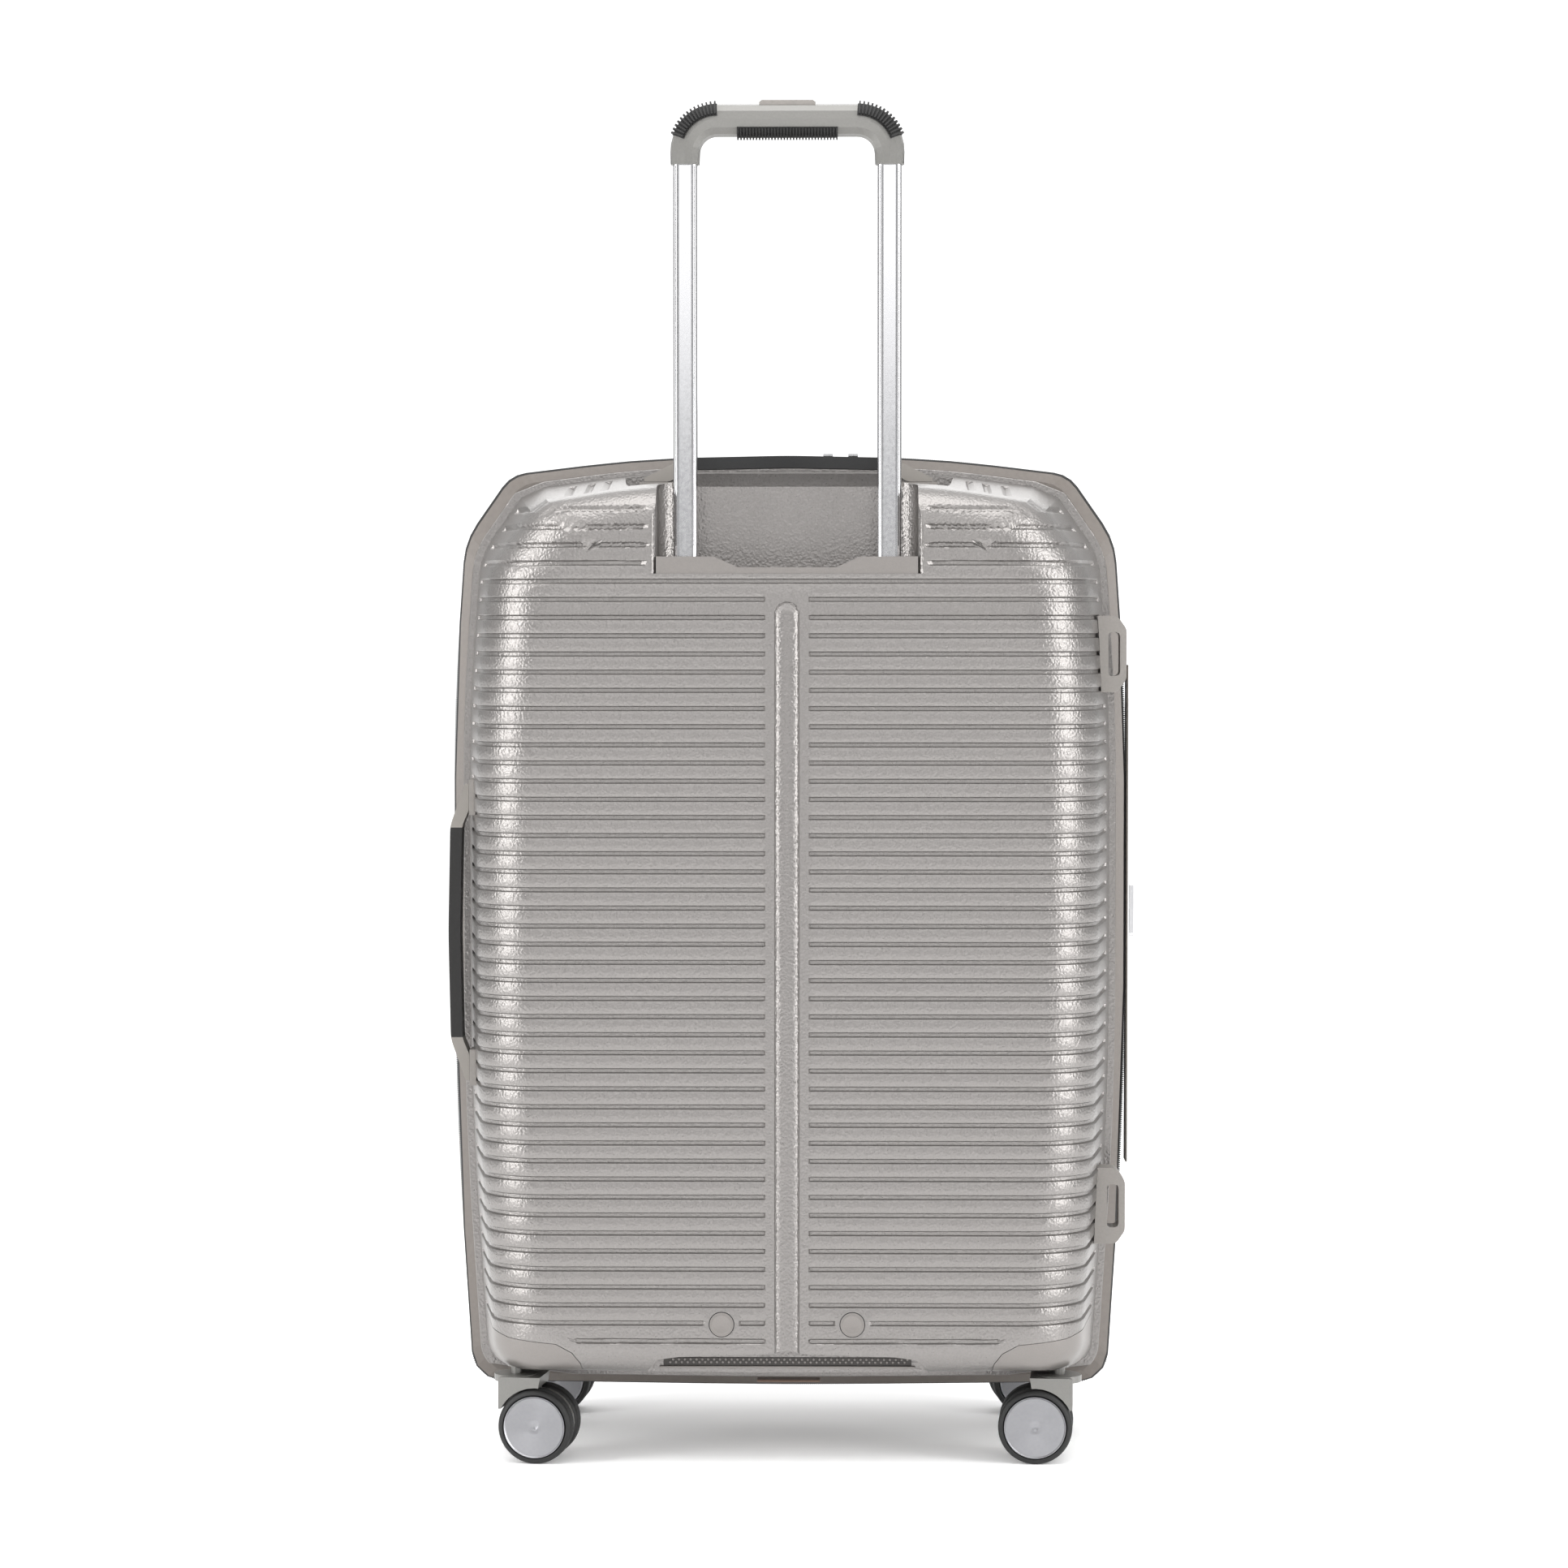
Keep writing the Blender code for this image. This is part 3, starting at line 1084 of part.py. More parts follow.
def build_button(slide):
    """The push button and the yoke with its two rods, which move together."""
    empty = joint_empty("grip_button_slide", (0.0, 0.0, 0.0), 0.0, slide)
    yoke_top = YOKE_LOW + YOKE_HEIGHT
    yoke = box("release_yoke", (-ROD_X - 0.0018, TUBE_Y - YOKE_HALF_DEPTH, YOKE_LOW),
               (ROD_X + 0.0018, TUBE_Y + YOKE_HALF_DEPTH, yoke_top))
    rods = [cylinder(f"release_rod_{mirror}", ROD_RADIUS, (mirror * ROD_X, TUBE_Y, ROD_BOTTOM),
                     (mirror * ROD_X, TUBE_Y, YOKE_LOW + YOKE_HEIGHT / 2), 12)
            for mirror in (-1, 1)]
    combine(yoke, rods, "UNION")
    button_top = GRIP_BAR_Z + GRIP_BAR_RADIUS + BUTTON_PROUD
    slope = BUTTON_HALF_LENGTH - 0.0035
    outline = [(-slope, yoke_top + GAP), (slope, yoke_top + GAP),
               (BUTTON_HALF_LENGTH, yoke_top + 0.0035), (BUTTON_HALF_LENGTH, button_top - 0.0015),
               (BUTTON_HALF_LENGTH - 0.0020, button_top), (-BUTTON_HALF_LENGTH + 0.0020, button_top),
               (-BUTTON_HALF_LENGTH, button_top - 0.0015), (-BUTTON_HALF_LENGTH, yoke_top + 0.0035)]
    button = prism("grip_button", outline, "Y", TUBE_Y - BUTTON_HALF_DEPTH,
                   TUBE_Y + BUTTON_HALF_DEPTH)
    finish(yoke, BAND_GREY, 0.5)
    finish(button, PIPING_GREY, 0.4)
    for made in (yoke, button):
        carry(made, empty)


def build_trolley():
    """Inner tubes, grip, pads and button on the trolley's slide."""
    slide = joint_empty("trolley_slide", (0.0, TUBE_Y, RECESS_FLOOR + BEZEL_HEIGHT))
    top = GRIP_LEG_BOTTOM + SOCKET_DEPTH - GAP
    for mirror, word in ((-1, "left"), (1, "right")):
        tube = build_tube(f"inner_tube_{word}", INNER_TUBE_WIDTH, INNER_TUBE_DEPTH, mirror,
                          top - INNER_TUBE_LENGTH, top, 0.0045)
        carry(tube, slide)
    build_grip(slide)
    build_palm_pad(slide)
    build_corner_pads(slide)
    build_button(slide)


# ---- Carry handles -------------------------------------------------------------------
def handle_outline(half_length, base, crest, gap_at_end):
    """Outline of a bowed handle along u, rising in v from its plates to its crest."""
    flat = half_length * HANDLE_FLAT_SHARE
    outer_end = base + gap_at_end + HANDLE_END_THICKNESS
    under = crest - HANDLE_THICKNESS
    lift = 0.0016
    right = [(half_length, base + gap_at_end, 0, 0), (half_length, outer_end, 0, 0),
             (flat, crest - lift, 0.030, 4), (0.0, crest, 0.6, 4)]
    left = [(-flat, crest - lift, 0.030, 4), (-half_length, outer_end, 0, 0),
            (-half_length, base + gap_at_end, 0, 0),
            (-half_length + 2 * POST_INSET, base + gap_at_end, 0.008, 2),
            (-flat, under - lift, 0.020, 3), (0.0, under, 0.6, 4)]
    under_right = [(flat, under - lift, 0.020, 3),
                   (half_length - 2 * POST_INSET, base + gap_at_end, 0.008, 2)]
    return rounded(right + left + under_right)


def build_carry_handles():
    """The top and side handles, each on two posts that slide in the plates' cups."""
    empty = joint_empty("top_handle_slide", (0.0, TOP_HANDLE_Y, SCOOP_FLOOR))
    base = SCOOP_FLOOR + GAP + PLATE_THICKNESS
    outline = handle_outline(TOP_HANDLE_HALF_LENGTH, base, SCOOP_FLOOR + TOP_HANDLE_RISE, GAP)
    grip = prism("top_handle_grip", outline, "Y", TOP_HANDLE_Y - HANDLE_HALF_DEPTH,
                 TOP_HANDLE_Y + HANDLE_HALF_DEPTH)
    posts = [cup_box(f"top_post_{mirror}", top_post(mirror), "Z", base + 0.002,
                     -CUP_WALL - GAP, base - CUP_DEPTH) for mirror in (-1, 1)]
    combine(grip, posts, "UNION")
    carry(finish(grip, RUBBER_BLACK, 0.6), empty)

    base = side_plate_x()
    empty = joint_empty("side_handle_slide", (base, SIDE_HANDLE_Y, SIDE_HANDLE_Z))
    outline = handle_outline(SIDE_HANDLE_HALF_LENGTH, -base, SIDE_HANDLE_REACH, GAP)
    turned = [(-v, SIDE_HANDLE_Z + u) for u, v in outline]
    grip = prism("side_handle_grip", turned, "Y", SIDE_HANDLE_Y - HANDLE_HALF_DEPTH,
                 SIDE_HANDLE_Y + HANDLE_HALF_DEPTH)
    posts = [cup_box(f"side_post_{mirror}", side_post(mirror), "X", base - 0.002,
                     -CUP_WALL - GAP, base + CUP_DEPTH) for mirror in (-1, 1)]
    combine(grip, posts, "UNION")
    carry(finish(grip, RUBBER_BLACK, 0.6), empty)


# ---- Lock and pulls ------------------------------------------------------------------
def build_lock(hinge):
    """The combination lock in the top of the front half."""
    low = LOCK_TOP - LOCK_HEIGHT
    body = box("lock_body", (LOCK_X - LOCK_HALF_LENGTH, LOCK_Y - LOCK_HALF_WIDTH, low),
               (LOCK_X + LOCK_HALF_LENGTH, LOCK_Y + LOCK_HALF_WIDTH, LOCK_TOP))
    dial_z = LOCK_TOP + DIAL_PROUD - DIAL_RADIUS
    half = DIAL_WIDTH / 2
    slot = half + GAP
    for number in range(3):
        x = LOCK_X + DIAL_FIRST_X + DIAL_PITCH * number
        reach = DIAL_RADIUS + SLIDE_GAP
        combine(body, [box(f"dial_slot_{number}", (x - slot, LOCK_Y - reach, dial_z - reach),
                           (x + slot, LOCK_Y + reach, LOCK_TOP + PAST))], "DIFFERENCE")
        empty = joint_empty(f"lock_dial_turn_{number + 1}", (x, LOCK_Y, dial_z), 0.0,
                            hinge)
        dial = cylinder(f"lock_dial_{number + 1}", DIAL_RADIUS, (x - half, LOCK_Y, dial_z),
                        (x + half, LOCK_Y, dial_z), 20)
        carry(finish(dial, ZIP_BLACK, 0.4), empty)
    x = LOCK_X + LOCK_BUTTON_X
    floor = LOCK_TOP - 0.006
    size = LOCK_BUTTON_HALF
    combine(body, [box("lock_button_slot", (x - size - GAP, LOCK_Y - size - GAP, floor),
                       (x + size + GAP, LOCK_Y + size + GAP, LOCK_TOP + PAST))], "DIFFERENCE")
    carry(finish(body, (0.30, 0.30, 0.31), 0.35, 0.8), hinge)
    empty = joint_empty("lock_button_slide", (x, LOCK_Y, LOCK_TOP), 0.0, hinge)
    button = box("lock_button", (x - size, LOCK_Y - size, floor + 0.0022),
                 (x + size, LOCK_Y + size, LOCK_TOP + LOCK_BUTTON_PROUD))
    carry(finish(button, ZIP_BLACK, 0.4), empty)


def build_pulls(middle, hinge):
    """The two pulls of the main zip, lying on the lock, and the expansion zip's pull."""
    pivot_y = (ZIP_INNER + ZIP_OUTER) / 2
    pivot_z = RIM_TOP + 0.0020
    for x, word in zip(PULL_XS, ("left", "right")):
        half = PULL_WIDTH / 2
        thick = PULL_THICKNESS / 2
        start = pivot_y - 0.0020
        end = start + PULL_LENGTH
        knee = LIP_END + 0.003
        tip_z = pivot_z - PULL_DROP
        outline = [(start, pivot_z - thick), (knee, pivot_z - thick - 0.0008),
                   (end, tip_z - thick), (end, tip_z + thick), (knee, pivot_z + thick - 0.0008),
                   (start, pivot_z + thick)]
        pull = prism(f"zip_pull_{word}", outline, "X", x - half, x + half)
        empty = joint_empty(f"zip_pull_hinge_{word}", (x, pivot_y, pivot_z), 0.0, hinge)
        carry(finish(pull, METAL_SILVER, 0.25, 1.0), empty)
    x = RIM_HALF_WIDTH + HINGE_STRIP_OUT + EXPANSION_PULL_OUT
    half = EXPANSION_PULL_WIDTH / 2
    top = EXPANSION_PULL_Z
    low = top - EXPANSION_PULL_LENGTH
    outline = rounded_rectangle(EXPANSION_PULL_WIDTH, top + 0.003 - low, 0.0025,
                                (EXPANSION_PULL_Y, (top + 0.003 + low) / 2), 3)
    pull = prism("expansion_pull", outline, "X", x - PULL_THICKNESS, x + PULL_THICKNESS)
    window = rounded_rectangle(half, 0.016, 0.0012, (EXPANSION_PULL_Y, low + 0.013), 2)
    combine(pull, [prism("expansion_pull_window", window, "X", x - PAST, x + PAST)],
            "DIFFERENCE")
    empty = joint_empty("expansion_pull_hinge", (x, EXPANSION_PULL_Y, top), 0.0, middle)
    carry(finish(pull, METAL_SILVER, 0.25, 1.0), empty)


# ---- The whole case ------------------------------------------------------------------
MIDDLE = joint_empty("expansion_slide", (0.0, -BAND_HALF, RIM_BOTTOM))
HINGE = joint_empty("front_hinge", (HINGE_X, HINGE_Y, (HINGE_STRIP_LOW + HINGE_STRIP_HIGH) / 2),
                    0.0, MIDDLE)
build_back_shell()
build_lining("back_lining", -1, LINING_FLOOR_BACK, BACK_LINING_RADII)
carry(build_shell("front_shell", 1), HINGE)
carry(build_lining("front_lining", 1, WALL + LINING_GAP, FRONT_LINING_RADII), HINGE)
build_bands(MIDDLE, HINGE)
build_hinge_strip(MIDDLE)
build_trolley_bezel()
build_case_fittings()
build_feet(HINGE)
build_casters(HINGE)
build_handle_plates()
build_trolley()
build_carry_handles()
build_lock(HINGE)
build_pulls(MIDDLE, HINGE)
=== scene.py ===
"""The finished look of the hard shell suitcase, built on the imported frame.

Metres, +Z up, origin on the floor under the middle of the case. The trolley half faces -Y.
"""

import json
import math

import bmesh
import bpy
import numpy as np
from mathutils import Matrix, Vector

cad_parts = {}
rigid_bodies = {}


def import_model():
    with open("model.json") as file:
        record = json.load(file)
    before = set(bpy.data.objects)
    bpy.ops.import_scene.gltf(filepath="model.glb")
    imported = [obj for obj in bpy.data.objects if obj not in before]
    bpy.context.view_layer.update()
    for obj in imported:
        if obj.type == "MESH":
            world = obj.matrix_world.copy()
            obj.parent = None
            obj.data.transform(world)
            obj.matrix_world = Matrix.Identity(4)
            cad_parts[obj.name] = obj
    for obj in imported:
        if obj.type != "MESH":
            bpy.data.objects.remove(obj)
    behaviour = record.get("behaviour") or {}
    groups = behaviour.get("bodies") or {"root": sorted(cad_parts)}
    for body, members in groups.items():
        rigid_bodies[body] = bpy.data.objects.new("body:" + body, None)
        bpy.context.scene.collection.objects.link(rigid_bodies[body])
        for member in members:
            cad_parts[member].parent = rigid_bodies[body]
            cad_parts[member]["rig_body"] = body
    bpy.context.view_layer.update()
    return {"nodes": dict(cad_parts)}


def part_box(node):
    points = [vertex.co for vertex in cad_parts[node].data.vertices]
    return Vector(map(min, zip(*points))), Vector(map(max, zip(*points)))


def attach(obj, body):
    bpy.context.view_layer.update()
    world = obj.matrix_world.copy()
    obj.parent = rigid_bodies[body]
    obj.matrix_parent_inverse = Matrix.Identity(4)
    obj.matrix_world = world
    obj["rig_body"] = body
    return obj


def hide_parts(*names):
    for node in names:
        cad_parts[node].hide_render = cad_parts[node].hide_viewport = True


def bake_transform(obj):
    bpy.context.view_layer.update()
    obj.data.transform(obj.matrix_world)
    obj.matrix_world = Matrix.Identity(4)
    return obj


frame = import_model()

# ---- Sizes of the case, as the frame has them ----
RIM_HALF_WIDTH = 0.260
RIM_BOTTOM = 0.0395
RIM_TOP = 0.7605
HALF_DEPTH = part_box("front_shell")[1][1]
SIDE_INSETS = (0.0310, 0.0134)  # face, foot of the lip
BOTTOM_INSETS = (0.0333, 0.0134)
TOP_INSETS = (0.0280, 0.0120)
EDGE_RADII = (0.042, 0.018, 0.025)  # side, bottom, top
LIP_END = 0.0160
LIP_START = 0.0220
LIP_INSET = 0.0085
SHELL_WALL = 0.0025
ARC = 10

# ---- Grooves pressed into the shells ----
GROOVE_COUNT = 47
GROOVE_TOP = 0.71766
GROOVE_PITCH = 0.013494
GROOVE_HALF = 0.0022
GROOVE_DEPTH = 0.0021
GROOVE_FLOOR_SHARE = 0.50  # share of a groove's half width that is its flat floor
GROOVE_SIDE_END = 0.0480  # how near the middle of the case a groove runs
TOP_GROOVE_PITCH = 0.01345
TOP_GROOVE_FIRST = 0.1370
TOP_GROOVE_COUNT = 7
TOP_GROOVE_FACE_END = 0.1120
CHANNEL_HALF = 0.0091
CHANNEL_DEPTH = 0.0042
CHANNEL_TOP = 0.6484
CHANNEL_BREAK = 0.0158  # half the break that the channel makes in a groove
PLUG_X = 0.0488
PLUG_BREAK = 0.0124
PLUG_GROOVE = 45
RECESS_HALF = 0.0975
RECESS_BREAK = 0.1042
RECESS_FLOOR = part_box("trolley_bezel")[0][2]
RECESS_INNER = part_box("trolley_bezel")[1][1]
LAST_GROOVE_END = 0.1590


# ---- Small helpers ----
def new_object(name, mesh, body, material=None):
    """An object in the scene that rides on a body of the frame."""
    made = bpy.data.objects.new(name, mesh)
    bpy.context.scene.collection.objects.link(made)
    if material:
        made.data.materials.clear()
        made.data.materials.append(material)
    if body:
        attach(made, body)
    return made


def smoothed(mesh, angle=35.0):
    """Shade a mesh smooth with its sharp edges kept."""
    mesh.shade_smooth()
    mesh.set_sharp_from_angle(angle=math.radians(angle))
    return mesh


def mesh_from(name, points, faces, angle=35.0):
    """A mesh from points and faces."""
    mesh = bpy.data.meshes.new(name)
    mesh.from_pydata([tuple(map(float, point)) for point in points], [],
                     [tuple(map(int, face)) for face in faces])
    mesh.update()
    return smoothed(mesh, angle)


def applied(made):
    """Apply an object's modifiers to its mesh."""
    bpy.context.view_layer.update()
    evaluated = made.evaluated_get(bpy.context.evaluated_depsgraph_get())
    mesh = bpy.data.meshes.new_from_object(evaluated)
    made.modifiers.clear()
    old = made.data
    made.data = mesh
    bpy.data.meshes.remove(old)
    return made


def outward(mesh):
    """Turn a closed mesh's faces outwards."""
    shape = bmesh.new()
    shape.from_mesh(mesh)
    bmesh.ops.recalc_face_normals(shape, faces=shape.faces)
    shape.to_mesh(mesh)
    shape.free()
    return mesh


def bevelled(made, width, angle=None):
    """Round an object's edges, if need be only those sharper than an angle."""
    bevel = made.modifiers.new("edge", "BEVEL")
    bevel.width = width
    bevel.segments = 2
    if angle:
        bevel.limit_method = "ANGLE"
        bevel.angle_limit = math.radians(angle)
    applied(made)


def cut(made, tools, operation="DIFFERENCE"):
    """Shape an object by other meshes, which are then thrown away."""
    for tool in tools:
        modifier = made.modifiers.new(tool.name, "BOOLEAN")
        modifier.operation = operation
        modifier.object = tool
        modifier.solver = "EXACT"
    applied(made)
    for tool in tools:
        bpy.data.objects.remove(tool, do_unlink=True)
    return made


def rounded(corners):
    """Points of a closed outline from corners given as (u, v, radius, steps)."""
    points = []
    for place, (u, v, radius, steps) in enumerate(corners):
        here = Vector((u, v))
        before = Vector(corners[place - 1][:2]) - here
        after = Vector(corners[(place + 1) % len(corners)][:2]) - here
        if radius <= 0:
            points.append(here)
            continue
        half = before.angle(after) / 2
        shares = [0.49 if corners[near % len(corners)][2] > 0 else 0.98
                  for near in (place - 1, place + 1)]
        reach = min(radius / math.tan(half), shares[0] * before.length,
                    shares[1] * after.length)
        radius = reach * math.tan(half)
        middle = here + (before.normalized() + after.normalized()).normalized() * (
            radius / math.sin(half))
        first = here + before.normalized() * reach - middle
        sweep = first.angle_signed(here + after.normalized() * reach - middle)
        for step in range(steps + 1):
            points.append(middle + Matrix.Rotation(-sweep * step / steps, 2) @ first)
    return points


def prism(name, outline, axis, low, high):
    """An outline extruded along Y or Z, as a mesh. Its u and v are the other two axes."""
    ends = []
    for level in (low, high):
        for u, v in outline:
            ends.append((u, level, v) if axis == "Y" else (u, v, level))
    count = len(outline)
    faces = [tuple(range(count)), tuple(range(count, 2 * count))]
    return outward(mesh_from(name, ends, faces + loft_faces(2, count)))


def loft_faces(rows, count, closed_rows=False):
    """Quads of a grid whose vertices run loop by loop."""
    faces = []
    for row in range(rows if closed_rows else rows - 1):
        below = row * count
        above = ((row + 1) % rows) * count
        for place in range(count):
            after = (place + 1) % count
            faces.append((below + place, below + after, above + after, above + place))
    return faces


def circle(radius, count):
    """Corners of a circle."""
    angles = [2 * math.pi * step / count for step in range(count)]
    return [(radius * math.cos(angle), radius * math.sin(angle)) for angle in angles]


def shifted(faces, start):
    """Faces whose vertices come after others that are already there."""
    return [tuple(start + corner for corner in face) for face in faces]


# ---- The case's outline ----
def mirrored(right):
    """The corners of an outline's left half, from those of its right half."""
    return [(-x, *rest) for x, *rest in reversed(right)]


def case_outline(side_inset, bottom_inset, top_inset, arc=ARC):
    """The case's outline in x and z, drawn in from the rim by three amounts."""
    wide = RIM_HALF_WIDTH - side_inset
    low = RIM_BOTTOM + bottom_inset
    high = RIM_TOP - top_inset
    tall = high - low
    right = [(wide - 0.0135, low + 0.0030, 0.024, arc), (wide, low + 0.30 * tall, 3.0, arc),
             (wide, low + 0.74 * tall, 3.0, arc), (wide - 0.0085, high - 0.0645, 0.060, arc),
             (wide - 0.0442, high - 0.0133, 0.026, arc), (0.1055, high, 1.75, 2 * arc)]
    corners = [(0.0, low, 6.0, 4)] + right + mirrored(right)
    return np.array([tuple(point) for point in rounded(corners)])


def edge_inset(depth, radius, wall):
    """How far a rounded edge is drawn in at a depth below its face, inside a wall."""
    if depth >= radius:
        return wall
    return radius - math.sqrt(max(0.0, (radius - wall) ** 2 - (radius - depth) ** 2))


def level_insets(depth, wall=0.0):
    """The three insets of a shell's wall at a depth from its face, on its inside or out."""
    share = depth / (HALF_DEPTH - LIP_START)
    amounts = []
    for (face, foot), radius in zip((SIDE_INSETS, BOTTOM_INSETS, TOP_INSETS), EDGE_RADII):
        amounts.append(face + (foot - face) * share + edge_inset(depth, radius, wall))
    return amounts


def side_half_width(points, heights):
    """Half the outline's width at the given heights."""
    right = points[points[:, 0] > 0]
    right = right[np.argsort(right[:, 1])]
    return np.interp(heights, right[:, 1], right[:, 0])


def edge_height(points, places):
    """Height of the edge that these points of an outline lie on, over places in x."""
    points = points[np.argsort(points[:, 0])]
    return np.interp(places, points[:, 0], points[:, 1])


# ---- Shells ----
SHOULDER_CORNER = 0.0195  # below the top: where the sides meet the top
BOTTOM_CORNER = 0.0100
ROW_LOW = 0.1065  # between these heights the rows are level
ROW_HIGH = 0.6780


def groove_heights():
    """Heights of the grooves' middles, from the top down."""
    return [GROOVE_TOP - GROOVE_PITCH * number for number in range(GROOVE_COUNT)]


def level_rows():
    """Heights of the level rows, close together across each groove."""
    across = (-1.1, -0.90, -0.70, -0.50, 0.50, 0.70, 0.90, 1.1)
    rows = {ROW_LOW, ROW_HIGH}
    for height in groove_heights():
        rows.update(round(height + share * GROOVE_HALF, 6) for share in across)
    rows.update(round(CHANNEL_TOP - 0.0105 + 0.001 * step, 6) for step in range(13))
    kept = [ROW_LOW]
    for height in sorted(z for z in rows if ROW_LOW <= z <= ROW_HIGH):
        if height - kept[-1] > 0.00015:
            kept.append(height)
    return np.array(kept)


def face_columns(back):
    """Places in x of the face's columns, close together where a feature needs it."""
    fine = [(0.0, 0.0105, 11), (0.0125, 0.0185, 6), (0.0330, 0.0390, 5), (0.0590, 0.0650, 5),
            (0.1005, 0.1075, 6), (0.1550, 0.1620, 6)]
    places = set()
    for low, high, count in fine if back else fine[-1:]:
        places.update(round(x, 6) for x in np.linspace(low, high, count))
    for x in np.arange(0.0, FACE_LIMIT + 0.0001, 0.0042):
        if all(abs(x - other) > 0.0021 for other in places):
            places.add(round(x, 6))
    right = sorted(places)
    return np.array([-x for x in reversed(right) if x > 0] + right)


FACE_LIMIT = 0.170  # columns inside this stay upright, the rest fan out


def column_places(columns, reach):
    """Columns moved so that the outermost one, added at each end, lies at the reach."""
    inner = min(FACE_LIMIT, reach - 0.004)
    scaled = columns * (inner / FACE_LIMIT) if inner < FACE_LIMIT else columns
    return np.concatenate(([-reach], scaled, [reach]))


def groove_sink(points, side):
    """How deep each point lies below the smooth surface, from all the grooves."""
    x, y, z = np.abs(points[:, 0]), np.abs(points[:, 1]), points[:, 2]
    sink = np.zeros(len(points))
    for number, height in enumerate(groove_heights()):
        near = np.abs(z - height) < 1.3 * GROOVE_HALF
        spans = [(0.0, 1.0)]
        if side < 0:
            start = RECESS_BREAK if number < 4 else CHANNEL_BREAK if number > 4 else 0.0
            spans = [(start, 1.0)]
            if number == PLUG_GROOVE:
                spans = [(start, PLUG_X - PLUG_BREAK), (PLUG_X + PLUG_BREAK, 1.0)]
        if number == GROOVE_COUNT - 1:
            spans = [(spans[0][0], LAST_GROOVE_END)]
        for start, end in spans:
            low = start + GROOVE_HALF if start > 0 else -1.0
            beyond = np.maximum(np.maximum(low - x, x - (end - GROOVE_HALF)), 0.0)
            beyond = np.maximum(beyond, GROOVE_SIDE_END + GROOVE_HALF - y)
            away = np.hypot(z - height, np.maximum(beyond, 0.0)) / GROOVE_HALF
            sink = np.where(near, np.maximum(sink, groove_profile(away)), sink)
    return GROOVE_DEPTH * sink


def groove_profile(away):
    """Share of a groove's depth at a distance from its middle, in half widths."""
    share = np.clip((1.0 - away) / (1.0 - GROOVE_FLOOR_SHARE), 0.0, 1.0)
    return share * share * (3.0 - 2.0 * share)


def top_groove_sink(points, top_points):
    """Depth of the grooves that run over the top, for the points that lie on it."""
    x, y = np.abs(points[:, 0]), np.abs(points[:, 1])
    sink = np.zeros(len(points))
    for number in range(TOP_GROOVE_COUNT):
        middle = TOP_GROOVE_FIRST + TOP_GROOVE_PITCH * number
        beyond = np.maximum(np.maximum(GROOVE_SIDE_END + GROOVE_HALF - y,
                                       y - TOP_GROOVE_FACE_END), 0.0)
        away = np.hypot(x - middle, beyond) / GROOVE_HALF
        sink = np.maximum(sink, groove_profile(away))
    return np.where(top_points, GROOVE_DEPTH * sink, 0.0)


def channel_sink(points):
    """Depth of the half-round channel down the middle of the back."""
    x, z = points[:, 0], points[:, 2]
    over = np.maximum(z - (CHANNEL_TOP - CHANNEL_HALF), 0.0)
    away = np.clip(np.hypot(x, over) / CHANNEL_HALF, 0.0, 1.0)
    on_face = (points[:, 1] < -HALF_DEPTH + 0.03) & (z > 0.080)
    return np.where(on_face, CHANNEL_DEPTH * np.sqrt(1.0 - away * away), 0.0)


def shell_levels():
    """Depths of the loops round a shell, from the face to the foot of the lip."""
    widest = max(EDGE_RADII)
    arcs = [radius * (1 - math.cos(math.radians(angle)))
            for radius, angles in zip(EDGE_RADII, (range(0, 91, 2), (60, 90), (60, 90)))
            for angle in angles]
    foot = HALF_DEPTH - LIP_START
    end = HALF_DEPTH - GROOVE_SIDE_END
    wall = list(np.linspace(widest, end - 0.004, 7))[1:]
    near_end = list(np.linspace(end - 0.0030, end + 0.0012, 6)) + [foot - 0.0015, foot]
    groove = [0.0004, 0.0009, 0.0014, 0.0019, 0.0024, 0.0029, 0.0035, 0.0042]
    return sorted({round(depth, 6) for depth in arcs + wall + near_end + groove})


def wall_loops():
    """The outlines of a shell's outside, from the foot of the lip to the face."""
    return [(HALF_DEPTH - depth, case_outline(*level_insets(depth)))
            for depth in reversed(shell_levels())]


def shell_loop(points, rows, columns, dense):
    """A closed loop of x and z round one level: right side, top, left side, bottom."""
    high, low = points[:, 1].max(), points[:, 1].min()
    corner_top = high - SHOULDER_CORNER
    corner_low = low + BOTTOM_CORNER
    heights = np.concatenate((np.linspace(corner_low, ROW_LOW, LOW_ROWS + 1)[:-1], rows,
                              np.linspace(ROW_HIGH, corner_top, HIGH_ROWS + 1)[1:]))
    side = side_half_width(points, heights)
    across_top = column_places(columns, side[-1])
    across_low = column_places(columns, side[0])
    fine = np.interp(np.arange((len(across_top) - 1) * dense + 1) / dense,
                     np.arange(len(across_top)), across_top)
    upper, lower = points[points[:, 1] > 0.45], points[points[:, 1] < 0.25]
    top = np.column_stack((fine[::-1], edge_height(upper, fine[::-1])))
    bottom = np.column_stack((across_low, edge_height(lower, across_low)))
    right = np.column_stack((side, heights))
    left = np.column_stack((-side[::-1], heights[::-1]))
    return np.vstack((right, top[1:-1], left, bottom[1:-1]))


LOW_ROWS = 26
HIGH_ROWS = 48
TOP_DENSE = 2


